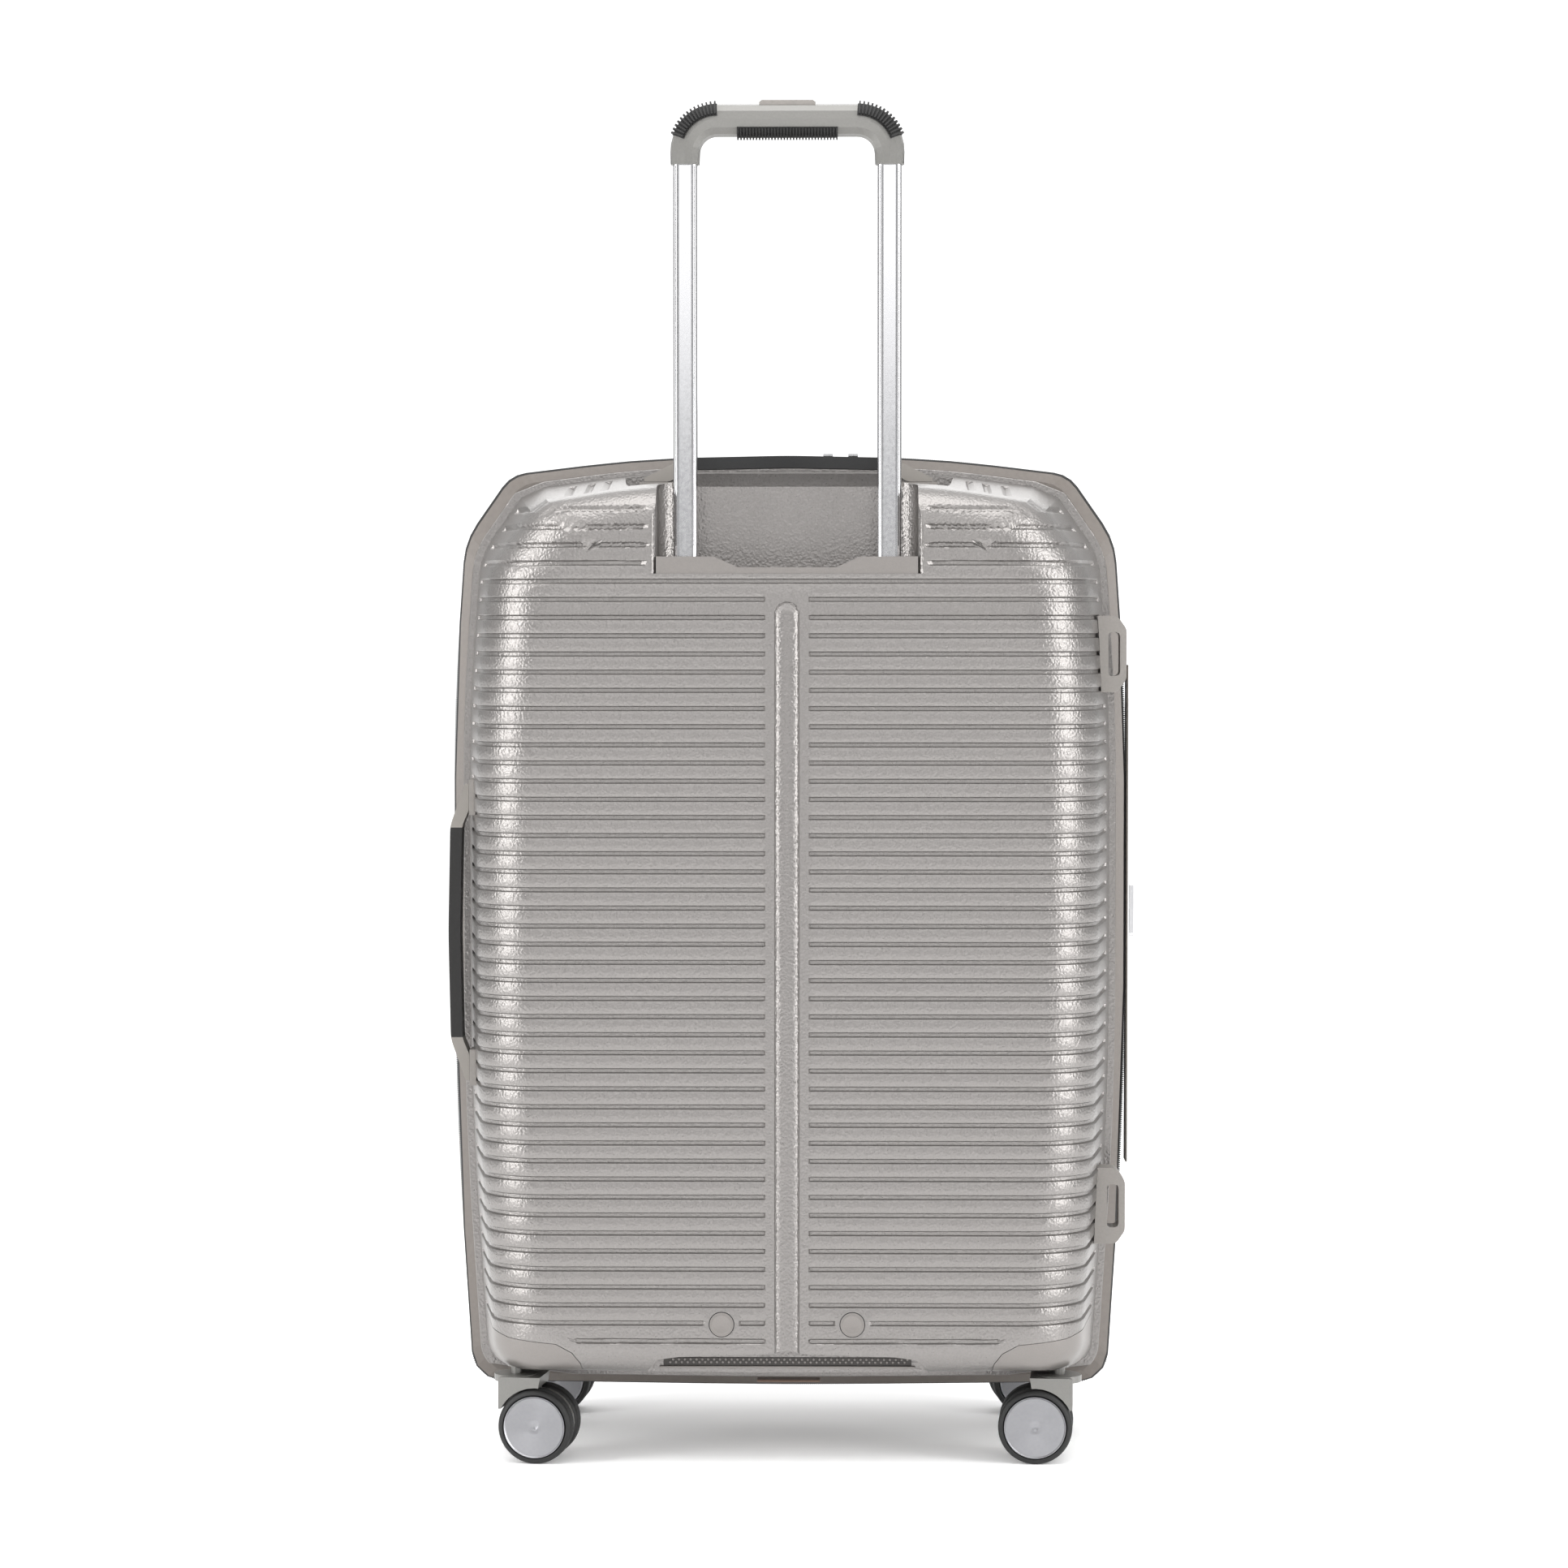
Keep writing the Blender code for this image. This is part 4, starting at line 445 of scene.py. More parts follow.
def shell_sheet(side):
    """Points and faces of a shell's outer skin, from its lip to the middle of its face."""
    rows = level_rows()
    columns = face_columns(side < 0)
    count_rows = LOW_ROWS + len(rows) + HIGH_ROWS
    count_columns = len(columns) + 2
    lip = [(LIP_END, LIP_INSET + 0.0004), (LIP_END + 0.0004, LIP_INSET),
           (LIP_START - 0.0008, LIP_INSET), (LIP_START - 0.0002, LIP_INSET + 0.0005)]
    loops = [(distance, case_outline(inset, inset, inset)) for distance, inset in lip]
    points = []
    for distance, outline in loops + wall_loops():
        flat = shell_loop(outline, rows, columns, TOP_DENSE)
        points.append(np.column_stack((flat[:, 0], np.full(len(flat), side * distance),
                                       flat[:, 1])))
    size = len(points[0])
    faces = loft_faces(len(points), size)
    total = len(points) * size
    last = total - size
    edge = points[-1]
    top_first = count_rows - 1
    fine_count = (count_columns - 1) * TOP_DENSE
    left_first = top_first + fine_count
    bottom_first = left_first + count_rows - 1
    right_index = [last + row for row in range(count_rows)]
    left_index = [last + left_first + count_rows - 1 - row for row in range(count_rows)]
    bottom_index = [last + (bottom_first + place) % size for place in range(count_columns)]
    bottom_index[-1] = last
    top_fine = [last + top_first + fine_count - step for step in range(fine_count + 1)]
    top_curve = edge[np.array(top_fine[::TOP_DENSE]) - last]
    low_curve = edge[np.array(bottom_index) - last]
    inner = []
    grid = [bottom_index]
    for row in range(1, count_rows - 1):
        reach = edge[row, 0]
        places = column_places(columns, reach)
        if row < LOW_ROWS:
            share = row / LOW_ROWS
            level = low_curve[:, 2] * (1 - share) + ROW_LOW * share
        elif row >= LOW_ROWS + len(rows):
            share = (row - LOW_ROWS - len(rows) + 1) / HIGH_ROWS
            level = ROW_HIGH * (1 - share) + top_curve[:, 2] * share
        else:
            level = np.full(count_columns, edge[row, 2])
        start = total + len(inner)
        for place in range(1, count_columns - 1):
            inner.append((places[place], side * HALF_DEPTH, level[place]))
        middle = list(range(start, start + count_columns - 2))
        grid.append([left_index[row]] + middle + [right_index[row]])
    for low, high in zip(grid, grid[1:]):
        for place in range(count_columns - 1):
            faces.append((low[place], low[place + 1], high[place + 1], high[place]))
    high = grid[-1]
    for place in range(count_columns - 1):
        fine = top_fine[place * TOP_DENSE:(place + 1) * TOP_DENSE + 1]
        faces.append((high[place], high[place + 1], *reversed(fine)))
    return np.vstack(points + [np.array(inner)]), faces, size


def pressed(points, faces, side):
    """The sheet's points with grooves and channel pressed in."""
    mesh = mesh_from("smooth_sheet", points, faces)
    outward(mesh)
    normals = np.empty(len(points) * 3)
    mesh.vertices.foreach_get("normal", normals)
    normals = normals.reshape(-1, 3)
    bpy.data.meshes.remove(mesh)
    facing = np.einsum("ij,ij->i", normals, points - np.array((0.0, 0.0, 0.4)))
    if facing.mean() < 0:
        normals = -normals
    on_top = normals[:, 2] > 0.80
    on_lip = np.abs(points[:, 1]) < LIP_START + 0.0003
    sink = groove_sink(points, side)
    sink = np.maximum(np.where(on_top, 0.0, sink), top_groove_sink(points, on_top))
    if side < 0:
        sink = np.maximum(sink, channel_sink(points))
    sink = np.where(on_lip, 0.0, sink)
    return points - normals * sink[:, None]


def loop_solid(name, loops, side):
    """A closed solid through outlines at distances from the middle of the case."""
    points = []
    for distance, outline in loops:
        points += [(x, side * distance, z) for x, z in outline]
    count = len(loops[0][1])
    faces = loft_faces(len(loops), count)
    faces.append(tuple(range(count)))
    faces.append(tuple(range(len(points) - count, len(points))))
    return outward(mesh_from(name, points, faces))


def cavity(side):
    """The hollow inside a shell."""
    loops = [(LIP_END - CUT_PAST, case_outline(*[LIP_INSET + SHELL_WALL] * 3, arc=6))]
    for depth in (0.1280, 0.1000, 0.0420, 0.0300, 0.0200, 0.0140, 0.0100, 0.0070, 0.0050,
                  0.0035, 0.0027, SHELL_WALL):
        insets = level_insets(depth, SHELL_WALL)
        loops.append((HALF_DEPTH - depth, case_outline(*insets, arc=6)))
    return loop_solid("cavity", loops, side)


CUT_PAST = 0.004
SHELL_ANGLE = 28.0  # edges of the skin sharper than this stay sharp
OUTSIDE = -0.165  # a place in y well outside the back
PLUG_Z = 0.1096
PLUG_HOLE = 0.0094
LOCK_GAP = 0.0003
TUBE_GAP = 0.0003
RECESS_MOUTH = 0.0050  # radius of the recess's rounded mouth
RECESS_CORNER = 0.018
SCOOP_HALF = 0.1215
SCOOP_FLOOR = 0.7350
SCOOP_SLOPE = 0.0115
SCOOP_Y = (-0.1020, -0.0340)
POCKET_BACK = -0.1280
HOUSING_TOP = ((0.1496, 0.0560), (0.1544, 0.0795), (0.1604, 0.0879), (0.1725, 0.0945),
               (0.2092, 0.0975), (0.2273, 0.1023), (0.2750, 0.1130))
HOUSING_END = 0.0460
HOUSING_CLEARANCE = 0.00035
HOUSING_BOTTOM = 0.0658


def recess_cutter(grow):
    """The trolley's recess, grown by a wall to keep the hollow clear of it."""
    half = RECESS_HALF + grow
    face = -HALF_DEPTH - 0.0001
    corner = RECESS_CORNER + grow
    mouth = RECESS_MOUTH - grow
    back = RECESS_INNER + grow
    wide = half + 0.015
    right = [(wide, face, 0, 0), (half, face, mouth, 6), (half, back, corner, 8)]
    outline = rounded(right + mirrored(right) + [(-wide, OUTSIDE, 0, 0), (wide, OUTSIDE, 0, 0)])
    return prism("recess", outline, "Z", RECESS_FLOOR - grow, RIM_TOP + 0.01)


def scoop_cutter(grow):
    """The scoop under the top handle, which the recess opens into."""
    right = [(SCOOP_HALF + grow, SCOOP_FLOOR - grow, 0.006, 5),
             (SCOOP_HALF + SCOOP_SLOPE + grow, SCOOP_FLOOR + 0.0240, 0, 0)]
    outline = rounded(right + mirrored(right))
    return prism("scoop", outline, "Y", SCOOP_Y[0] - 0.0002, SCOOP_Y[1] + grow)


def pocket_cutter(grow):
    """The hand pocket at the foot of the back, with its arched top."""
    right = [(0.1215 + grow, 0.0500, 0, 0), (0.0972 + grow, 0.0826 + grow, 0.006, 4),
             (0.0810, 0.0849 + grow, 0.02, 3), (0.0180, 0.0872 + grow, 0.02, 3)]
    outline = rounded(right + [(0.0, 0.0892 + grow, 0.014, 6)] + mirrored(right))
    return prism("pocket", outline, "Y", OUTSIDE, POCKET_BACK + grow)


def housing_cutter(mirror, side, grow=0.0):
    """The corner that a caster housing takes up."""
    outline = [(mirror * (x - grow), z + grow) for x, z in HOUSING_TOP]
    outline += [(mirror * 0.2750, 0.0200), (mirror * (0.1420 - grow), 0.0200)]
    ends = sorted((side * (HOUSING_END - grow), side * 0.1700))
    return prism("housing", outline, "Y", *ends)


def build_housing(place):
    """A corner moulding that follows the case outside and carries a caster."""
    side = -1 if place.startswith("back") else 1
    mirror = -1 if place.endswith("left") else 1
    solid = loop_solid("housing", wall_loops(), side)
    made = new_object(f"housing_{place}", solid, None, SMOOTH_SHELL)
    limit = housing_cutter(mirror, side, -HOUSING_CLEARANCE)
    well = cuboid("well", (-0.3, -0.2, 0.0), (0.3, 0.2, HOUSING_BOTTOM))
    cut(made, [helper(limit)], "INTERSECT")
    cut(made, [helper(well)])
    smoothed(made.data, 30)
    bevelled(made, 0.0007, 40)
    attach(made, "case" if side < 0 else "front")
    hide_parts(f"caster_housing_{place}")


def pipe(name, radius, start, end):
    """A round bar between two points, as a mesh."""
    count = 48
    start, end = Vector(start), Vector(end)
    turn = (end - start).to_track_quat("Z", "Y").to_matrix()
    points = []
    for middle in (start, end):
        points += [middle + turn @ Vector((u, v, 0)) for u, v in circle(radius, count)]
    faces = loft_faces(2, count) + [tuple(range(count)), tuple(range(count, 2 * count))]
    return outward(mesh_from(name, points, faces))


def cuboid(name, low, high):
    """A box between two corners, as a mesh."""
    outline = [(low[0], low[1]), (high[0], low[1]), (high[0], high[1]), (low[0], high[1])]
    return prism(name, outline, "Z", low[2], high[2])


def helper(mesh):
    """An object for a mesh that only shapes another one."""
    return new_object(mesh.name, mesh, None)


def join_meshes(name, meshes):
    """Several meshes as one."""
    shape = bmesh.new()
    for mesh in meshes:
        shape.from_mesh(mesh)
    made = bpy.data.meshes.new(name)
    shape.to_mesh(made)
    shape.free()
    return smoothed(made)


def grown_box(node, grow):
    """A cutter round a node's box, grown by a gap."""
    low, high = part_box(node)
    return cuboid("pocket_" + node, [a - grow for a in low], [b + grow for b in high])


def back_openings(grow):
    """Cutters for the recess, the scoop and the pocket of the back."""
    return [helper(cutter(grow)) for cutter in (recess_cutter, scoop_cutter, pocket_cutter)]


def build_shell(side, material):
    """One half of the case: a thin skin with its grooves, recesses and openings."""
    points, faces, size = shell_sheet(side)
    points = pressed(points, faces, side)
    mesh = outward(mesh_from("shell", points, faces + [tuple(range(size))], SHELL_ANGLE))
    word = "back" if side < 0 else "front"
    made = new_object(f"{word}_shell_skin", mesh, None, material)
    hollow = helper(cavity(side))
    cutters = [housing_cutter(mirror, side) for mirror in (-1, 1)]
    if side < 0:
        rib = cuboid("channel_rib", (-0.0125, -0.1600, 0.0500), (0.0125, -0.1425, 0.6620))
        cut(hollow, back_openings(SHELL_WALL) + [helper(rib)])
        body = back_openings(0.0)
        cutters += [pipe("plug_hole", PLUG_HOLE, (x, -0.170, PLUG_Z), (x, -0.135, PLUG_Z))
                    for x in (-PLUG_X, PLUG_X)]
        for node in ("outer_tube_left", "outer_tube_right"):
            low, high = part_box(node)
            cutters.append(cuboid("tube_hole", (low[0] - TUBE_GAP, low[1] - TUBE_GAP, 0.60),
                                  (high[0] + TUBE_GAP, high[1] + TUBE_GAP, 0.70)))
    else:
        body = []
        cutters.append(grown_box("lock_body", LOCK_GAP))
    cut(made, body + [hollow] + [helper(join_meshes("openings", cutters))])
    smoothed(made.data, SHELL_ANGLE)
    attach(made, "case" if side < 0 else "front")
    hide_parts(f"{word}_shell")


# ---- Materials ----
def linear(red, green, blue):
    """A colour given in steps of 255, as linear light."""
    steps = [value / 255.0 for value in (red, green, blue)]
    return tuple(v / 12.92 if v <= 0.04045 else ((v + 0.055) / 1.055) ** 2.4 for v in steps)


def link(tree, source, target):
    """Join two sockets, each given as a node and a name or number."""
    tree.links.new(source[0].outputs[source[1]], target[0].inputs[target[1]])


def new_node(tree, kind, **inputs):
    """A new shader node, with some of its inputs set."""
    made = tree.nodes.new("ShaderNode" + kind)
    for socket, value in inputs.items():
        made.inputs[socket.replace("_", " ")].default_value = value
    return made


def height_pattern(tree, place, kind, scale):
    """A node that gives a height pattern, and the name of its output."""
    output = "Fac"
    if kind == "cells":
        made = new_node(tree, "TexVoronoi", Scale=scale)
        made.feature = "SMOOTH_F1"
        made.inputs["Smoothness"].default_value = 0.45
        output = "Distance"
    elif kind == "noise":
        made = new_node(tree, "TexNoise", Scale=scale, Detail=3.0)
    else:
        made = new_node(tree, "TexWave", Scale=scale, Distortion=0.3)
        made.bands_direction = kind
    link(tree, (place, "Object"), (made, "Vector"))
    return made, output


def surface(name, colour, roughness, metallic=0.0, bumps=(), mottle=(60.0, 0.08),
            rough_spread=0.08, **sockets):
    """A procedural material: mottled colour, uneven roughness and layers of fine relief."""
    material = bpy.data.materials.new(name)
    material.use_nodes = True
    tree = material.node_tree
    shader = tree.nodes["Principled BSDF"]
    shader.inputs["Metallic"].default_value = metallic
    for socket, value in sockets.items():
        shader.inputs[socket.replace("_", " ")].default_value = value
    place = new_node(tree, "TexCoord")
    noise = new_node(tree, "TexNoise", Scale=mottle[0], Detail=4.0)
    link(tree, (place, "Object"), (noise, "Vector"))
    ramp = new_node(tree, "ValToRGB")
    base = linear(*colour)
    for place_on_ramp, element, share in ((0.30, 0, 1 - mottle[1]), (0.70, 1, 1 + mottle[1])):
        ramp.color_ramp.elements[element].position = place_on_ramp
        ramp.color_ramp.elements[element].color = (*[v * share for v in base], 1.0)
    link(tree, (noise, "Fac"), (ramp, "Fac"))
    link(tree, (ramp, "Color"), (shader, "Base Color"))
    spread = new_node(tree, "MapRange", To_Min=max(0.02, roughness - rough_spread),
                  To_Max=roughness + rough_spread)
    link(tree, (noise, "Fac"), (spread, "Value"))
    link(tree, (spread, "Result"), (shader, "Roughness"))
    last = None
    for kind, scale, strength, distance in bumps:
        pattern, output = height_pattern(tree, place, kind, scale)
        bump = new_node(tree, "Bump", Strength=strength, Distance=distance)
        link(tree, (pattern, output), (bump, "Height"))
        if last:
            link(tree, (last, "Normal"), (bump, "Normal"))
        last = bump
    if last:
        link(tree, (last, "Normal"), (shader, "Normal"))
    return material


def grain(scale, strength=0.35, distance=0.00012):
    """The layer of a fine uneven relief."""
    return [("noise", scale, strength, distance)]


def weave(scale, strength, axes="XZ"):
    """The layers of a woven relief, one along each axis."""
    return [(axis, scale, strength, 0.0003) for axis in axes]


SHELL = surface("taupe_polycarbonate", (134, 131, 129), 0.30, 0.78,
    grain(560.0, 0.8, 0.0005) + [("cells", 480.0, 0.6, 0.0004)],
    (700.0, 0.05), 0.07)
SMOOTH_SHELL = surface("taupe_fittings", (127, 123, 120), 0.36, 0.50, grain(1500.0),
    (900.0, 0.04), 0.06)
PIPING = surface("piping_vinyl", (102, 96, 91), 0.42, 0.0, grain(1400.0, 0.4), (300.0, 0.06))
BAND = surface("woven_band", (96, 90, 84), 0.80, 0.0, weave(420.0, 0.6, "XZY"),
    (500.0, 0.16), Sheen_Weight=0.25)
ZIP_TAPE = surface("zip_tape", (26, 25, 25), 0.82, 0.0, weave(520.0, 0.6), (700.0, 0.2),
    Sheen_Weight=0.2)
ZIP_TEETH = surface("zip_teeth", (30, 29, 29), 0.34, 0.0, grain(1800.0, 0.2, 0.0001),
    (900.0, 0.1))
LINING = surface("lining_fabric", (58, 58, 63), 0.86, 0.0,
    weave(560.0, 0.5) + weave(560.0, 0.4, "Y"), (240.0, 0.14), Sheen_Weight=0.3)
TUBE = surface("polished_aluminium", (206, 206, 208), 0.17, 1.0, grain(900.0, 0.08, 0.0001),
    (400.0, 0.03), 0.04)
GRIP = surface("grip_plastic", (120, 119, 116), 0.34, 0.45, grain(1500.0, 0.3),
    (700.0, 0.04), 0.06)
RUBBER = surface("ribbed_rubber", (14, 13, 13), 0.62, 0.0, grain(1300.0, 0.4, 0.00015),
    (500.0, 0.18))
LIGHT_GREY = surface("light_grey_rubber", (128, 124, 120), 0.46, 0.0, grain(1300.0),
    (500.0, 0.05))
BLACK = surface("black_plastic", (30, 29, 29), 0.42, 0.0, grain(1400.0), (500.0, 0.12))
TYRE = surface("tyre_rubber", (15, 15, 15), 0.58, 0.0, grain(1500.0, 0.35, 0.00015),
    (400.0, 0.15))
CHROME = surface("polished_pull", (206, 206, 208), 0.16, 1.0, grain(1200.0, 0.06, 0.0001),
    (500.0, 0.04), 0.04)
LOCK = surface("lock_metal", (150, 149, 150), 0.32, 0.85, grain(1500.0, 0.2, 0.0001),
    (600.0, 0.05), 0.06)
# Painted shade: the pocket's back wall is the shell's own plastic, and this dark colour stands
# in for its shadow.
POCKET_PAINTED_SHADE = surface("pocket_painted_shade", (62, 59, 57), 0.50, 0.2, grain(1400.0), (500.0, 0.10))
PATCH = surface("brown_patch", (120, 96, 82), 0.85, 0.0, weave(480.0, 0.6), (400.0, 0.14),
    Sheen_Weight=0.3)


def dress(names, material):
    """Give CAD nodes a finished material."""
    for name in names:
        for slot in frame["nodes"][name].material_slots:
            slot.material = material


def named(*starts):
    """Nodes whose names begin with any of these words."""
    return [name for name in frame["nodes"] if name.startswith(starts)]


for material, starts in (
        (SMOOTH_SHELL, ("caster_housing", "trolley_bezel", "tube_plug")),
        (PIPING, ("back_piping", "front_piping")),
        (BAND, ("middle_band", "hinge_strip", "expander_gusset")),
        (ZIP_TAPE, ("expansion_zip", "main_zip")), (LINING, ("back_lining", "front_lining")),
        (TUBE, ("inner_tube", "outer_tube")), (GRIP, ("trolley_grip", "caster_fork")),
        (RUBBER, ("palm_pad", "corner_pad", "side_handle_grip", "top_handle_grip")),
        (LIGHT_GREY, ("top_handle_plate", "side_handle_plate", "grip_button", "side_foot")),
        (BLACK, ("tube_base_bracket", "release_yoke", "lock_dial", "lock_button")),
        (LOCK, ("lock_body",)), (CHROME, ("zip_pull", "expansion_pull")),
        (TYRE, ("caster_wheel",))):
    dress(named(*starts), material)

# ---- The case's halves ----
PLACES = ("back_left", "back_right", "front_left", "front_right")

build_shell(-1, SHELL)
build_shell(1, SHELL)

for corner in PLACES:
    build_housing(corner)


def build_bracket():
    """The bracket at the foot of the tubes, hollowed where the channel runs over it."""
    source = frame["nodes"]["tube_base_bracket"]
    made = new_object("foot_bracket", source.data.copy(), None, BLACK)
    cut(made, [helper(pipe("relief", 0.0135, (0, -0.1490, 0.05), (0, -0.1490, 0.20)))])
    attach(made, "case")
    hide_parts("tube_base_bracket")


build_bracket()

# ---- Wheels ----
WHEEL_RADIUS = 0.0280
WHEEL_WIDTH = 0.0165
WHEEL_GAP = 0.0100


def turned(name, profile, material, place, body, count=96):
    """A closed profile of distances along and from an axis, turned and put in place."""
    points = []
    for along, radius in profile:
        points += [(u, v, along) for u, v in circle(radius, count)]
    faces = loft_faces(len(profile), count, closed_rows=True)
    made = new_object(name, outward(mesh_from(name, points, faces, 30.0)), None, material)
    made.matrix_world = place
    bpy.context.view_layer.update()
    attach(made, body)
    return made


def tyre_profile():
    """The tyre with fine grooves round its tread and a seat for the disc."""
    half = WHEEL_WIDTH / 2
    profile = [(half - 0.0030, 0.0060), (half - 0.0030, 0.0236), (half - 0.0004, 0.0240),
               (half, 0.0246), (half - 0.0002, 0.0256), (half - 0.0012, 0.0271),
               (half - 0.0026, 0.0279)]
    for middle in (0.0036, 0.0018, 0.0, -0.0018, -0.0036):
        profile += [(middle + 0.00045, WHEEL_RADIUS), (middle + 0.00025, WHEEL_RADIUS - 0.0005),
                    (middle - 0.00025, WHEEL_RADIUS - 0.0005), (middle - 0.00045, WHEEL_RADIUS)]
    profile += [(-half + 0.0026, 0.0279), (-half + 0.0012, 0.0271), (-half + 0.0002, 0.0256),
                (-half, 0.0246), (-half, 0.0200), (-half + 0.0012, 0.0190),
                (-half + 0.0012, 0.0060), (0.0, 0.0040)]
    return profile


def disc_profile():
    """The bright disc: a raised rim, a shallow cone and a dimple in the middle."""
    top = WHEEL_WIDTH / 2
    return [(top - 0.0028, 0.0235), (top - 0.0002, 0.0235), (top + 0.0004, 0.0232),
            (top + 0.0005, 0.0228), (top + 0.0001, 0.0224), (top - 0.0003, 0.0220),
            (top - 0.0001, 0.0140), (top + 0.0003, 0.0060), (top + 0.0003, 0.0030),
            (top + 0.0000, 0.0022), (top - 0.0004, 0.0010), (top - 0.0005, 0.0002),
            (top - 0.0028, 0.0002)]


def brushed_metal():
    """Aluminium brushed round the disc's middle."""
    material = surface("brushed_disc", (146, 146, 149), 0.30, 1.0, (), (400.0, 0.03), 0.04,
                       Anisotropic=0.85)
    tree = material.node_tree
    shader = tree.nodes["Principled BSDF"]
    tangent = new_node(tree, "Tangent")
    tangent.direction_type = "RADIAL"
    tangent.axis = "Z"
    link(tree, (tangent, "Tangent"), (shader, "Tangent"))
    place = new_node(tree, "TexCoord")
    rings = new_node(tree, "TexWave", Scale=900.0)
    rings.wave_type = "RINGS"
    rings.rings_direction = "Z"
    bump = new_node(tree, "Bump", Strength=0.12, Distance=0.0001)
    link(tree, (place, "Object"), (rings, "Vector"))
    link(tree, (rings, "Fac"), (bump, "Height"))
    link(tree, (bump, "Normal"), (shader, "Normal"))
    return material


def build_wheels():
    """Four pairs of wheels: a grooved tyre and a brushed disc each."""
    disc_metal = brushed_metal()
    for place in PLACES:
        middles = {}
        for word in ("outer", "inner"):
            low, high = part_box(f"caster_wheel_{place}_{word}")
            middles[word] = (Vector(low) + Vector(high)) / 2
        axle = (middles["outer"] + middles["inner"]) / 2
        axis = (middles["outer"] - middles["inner"]).normalized()
        for word, sign in (("outer", 1), ("inner", -1)):
            turn = (axis * sign).to_track_quat("Z", "Y").to_matrix().to_4x4()
            middle = axle + axis * sign * (WHEEL_GAP + WHEEL_WIDTH) / 2
            for part, profile, material in (("tyre", tyre_profile(), TYRE),
                                            ("disc", disc_profile(), disc_metal)):
                made = turned(f"{part}_{place}_{word}", profile, material,
                              Matrix.Translation(middle) @ turn, f"wheel_{place}_{word}")
                if part == "tyre":
                    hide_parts(f"caster_wheel_{place}_{word}")


build_wheels()


# ---- Zips ----
TOOTH_PITCH = 0.0016


def along_loop(outline, pitch):
    """Places and directions at an even pitch along a closed outline."""
    closed = np.vstack((outline, outline[:1]))
    steps = np.hypot(*np.diff(closed, axis=0).T)
    run = np.concatenate(([0.0], np.cumsum(steps)))
    count = int(run[-1] / pitch)
    places = np.arange(count) * run[-1] / count
    x, z = np.interp(places, run, closed[:, 0]), np.interp(places, run, closed[:, 1])
    ahead = (places + pitch / 4) % run[-1]
    direction = np.column_stack((np.interp(ahead, run, closed[:, 0]) - x,
                                 np.interp(ahead, run, closed[:, 1]) - z))
    direction /= np.maximum(np.hypot(*direction.T), 1e-9)[:, None]
    return np.column_stack((x, z)), direction


def build_teeth(name, node, middle, rise):
    """A row of coil teeth round the case, which ride with the zip's tape."""
    outline = case_outline(0.0012, 0.0012, 0.0012)
    places, directions = along_loop(outline, TOOTH_PITCH)
    points, faces = [], []
    for (x, z), (run_x, run_z) in zip(places, directions):
        out_x, out_z = -run_z, run_x
        if out_x * x + out_z * (z - 0.4) < 0:
            out_x, out_z = -out_x, -out_z
        start = len(points)
        for out, half in ((-0.0006, 0.00050), (0.0006, 0.00050), (rise, 0.00026)):
            for along, across in ((-half, -0.0009), (half, -0.0009), (half, 0.0009),
                                  (-half, 0.0009)):
                points.append((x + run_x * along + out_x * out, middle + across,
                               z + run_z * along + out_z * out))
        faces += [(start, start + 1, start + 2, start + 3), (start + 8, start + 9,
                                                             start + 10, start + 11)]
        faces += shifted(loft_faces(3, 4), start)
    made = new_object(name, outward(mesh_from(name, points, faces)),
                      frame["nodes"][node]["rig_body"], ZIP_TEETH)


build_teeth("expansion_zip_teeth", "expansion_zip", -0.0056, 0.0011)
build_teeth("main_zip_teeth", "main_zip", 0.0056, 0.0011)


# ---- Two-tone handles ----
def two_tone(name, axis, middle, half, inside, outside, roughness):
    """A material with one colour near the middle of an axis and another at both ends."""
    material = surface(name, inside, roughness, 0.0, [("noise", 1300.0, 0.35, 0.00015)],
                       (500.0, 0.10))
    tree = material.node_tree
    shader = tree.nodes["Principled BSDF"]
    place, split = new_node(tree, "TexCoord"), new_node(tree, "SeparateXYZ")
    link(tree, (place, "Object"), (split, "Vector"))
    last = split.outputs[axis]
    for operation, value in (("SUBTRACT", middle), ("ABSOLUTE", None), ("GREATER_THAN", half)):
        step = new_node(tree, "Math")
        step.operation = operation
        if value is not None:
            step.inputs[1].default_value = value
        tree.links.new(last, step.inputs[0])
        last = step.outputs[0]
    mix = new_node(tree, "Mix")
    mix.data_type = "RGBA"
    tree.links.new(last, mix.inputs["Factor"])
    old = shader.inputs["Base Color"].links[0].from_socket
    tree.links.new(old, mix.inputs[6])
    mix.inputs[7].default_value = (*linear(*outside), 1.0)
    tree.links.new(mix.outputs[2], shader.inputs["Base Color"])
    return material


dress(["side_handle_grip"], two_tone("side_handle_rubber", "Z", 0.3970, 0.0800,
                                     (14, 12, 11), (128, 124, 119), 0.60))
dress(["top_handle_grip"], two_tone("top_handle_rubber", "X", 0.0, 0.0840,
                                    (16, 16, 17), (128, 124, 119), 0.60))


# ---- Grip pads ----
GRIP_Z = 1.0060
GRIP_Y = -0.1265
GRIP_RADIUS = 0.0122
GRIP_BEND = 0.024
GRIP_TUBE_X = 0.0760


def ring_fin(radius_in, radius_out, start, end, thickness, place):
    """A thin plate shaped as part of a ring. The place turns its flat corners into 3-D."""
    steps = 18
    points, faces = [], []
    for side in (-thickness / 2, thickness / 2):
        for radius in (radius_in, radius_out):
            for step in range(steps + 1):
                angle = math.radians(start + (end - start) * step / steps)
                points.append(place(side, radius * math.cos(angle), radius * math.sin(angle)))
    row = steps + 1
    corners = [0, row, 3 * row, 2 * row]
    for step in range(steps):
        for low, high in zip(corners, corners[1:] + corners[:1]):
            faces.append((low + step, low + step + 1, high + step + 1, high + step))
    faces += [tuple(corners), tuple(corner + steps for corner in reversed(corners))]
    return points, faces


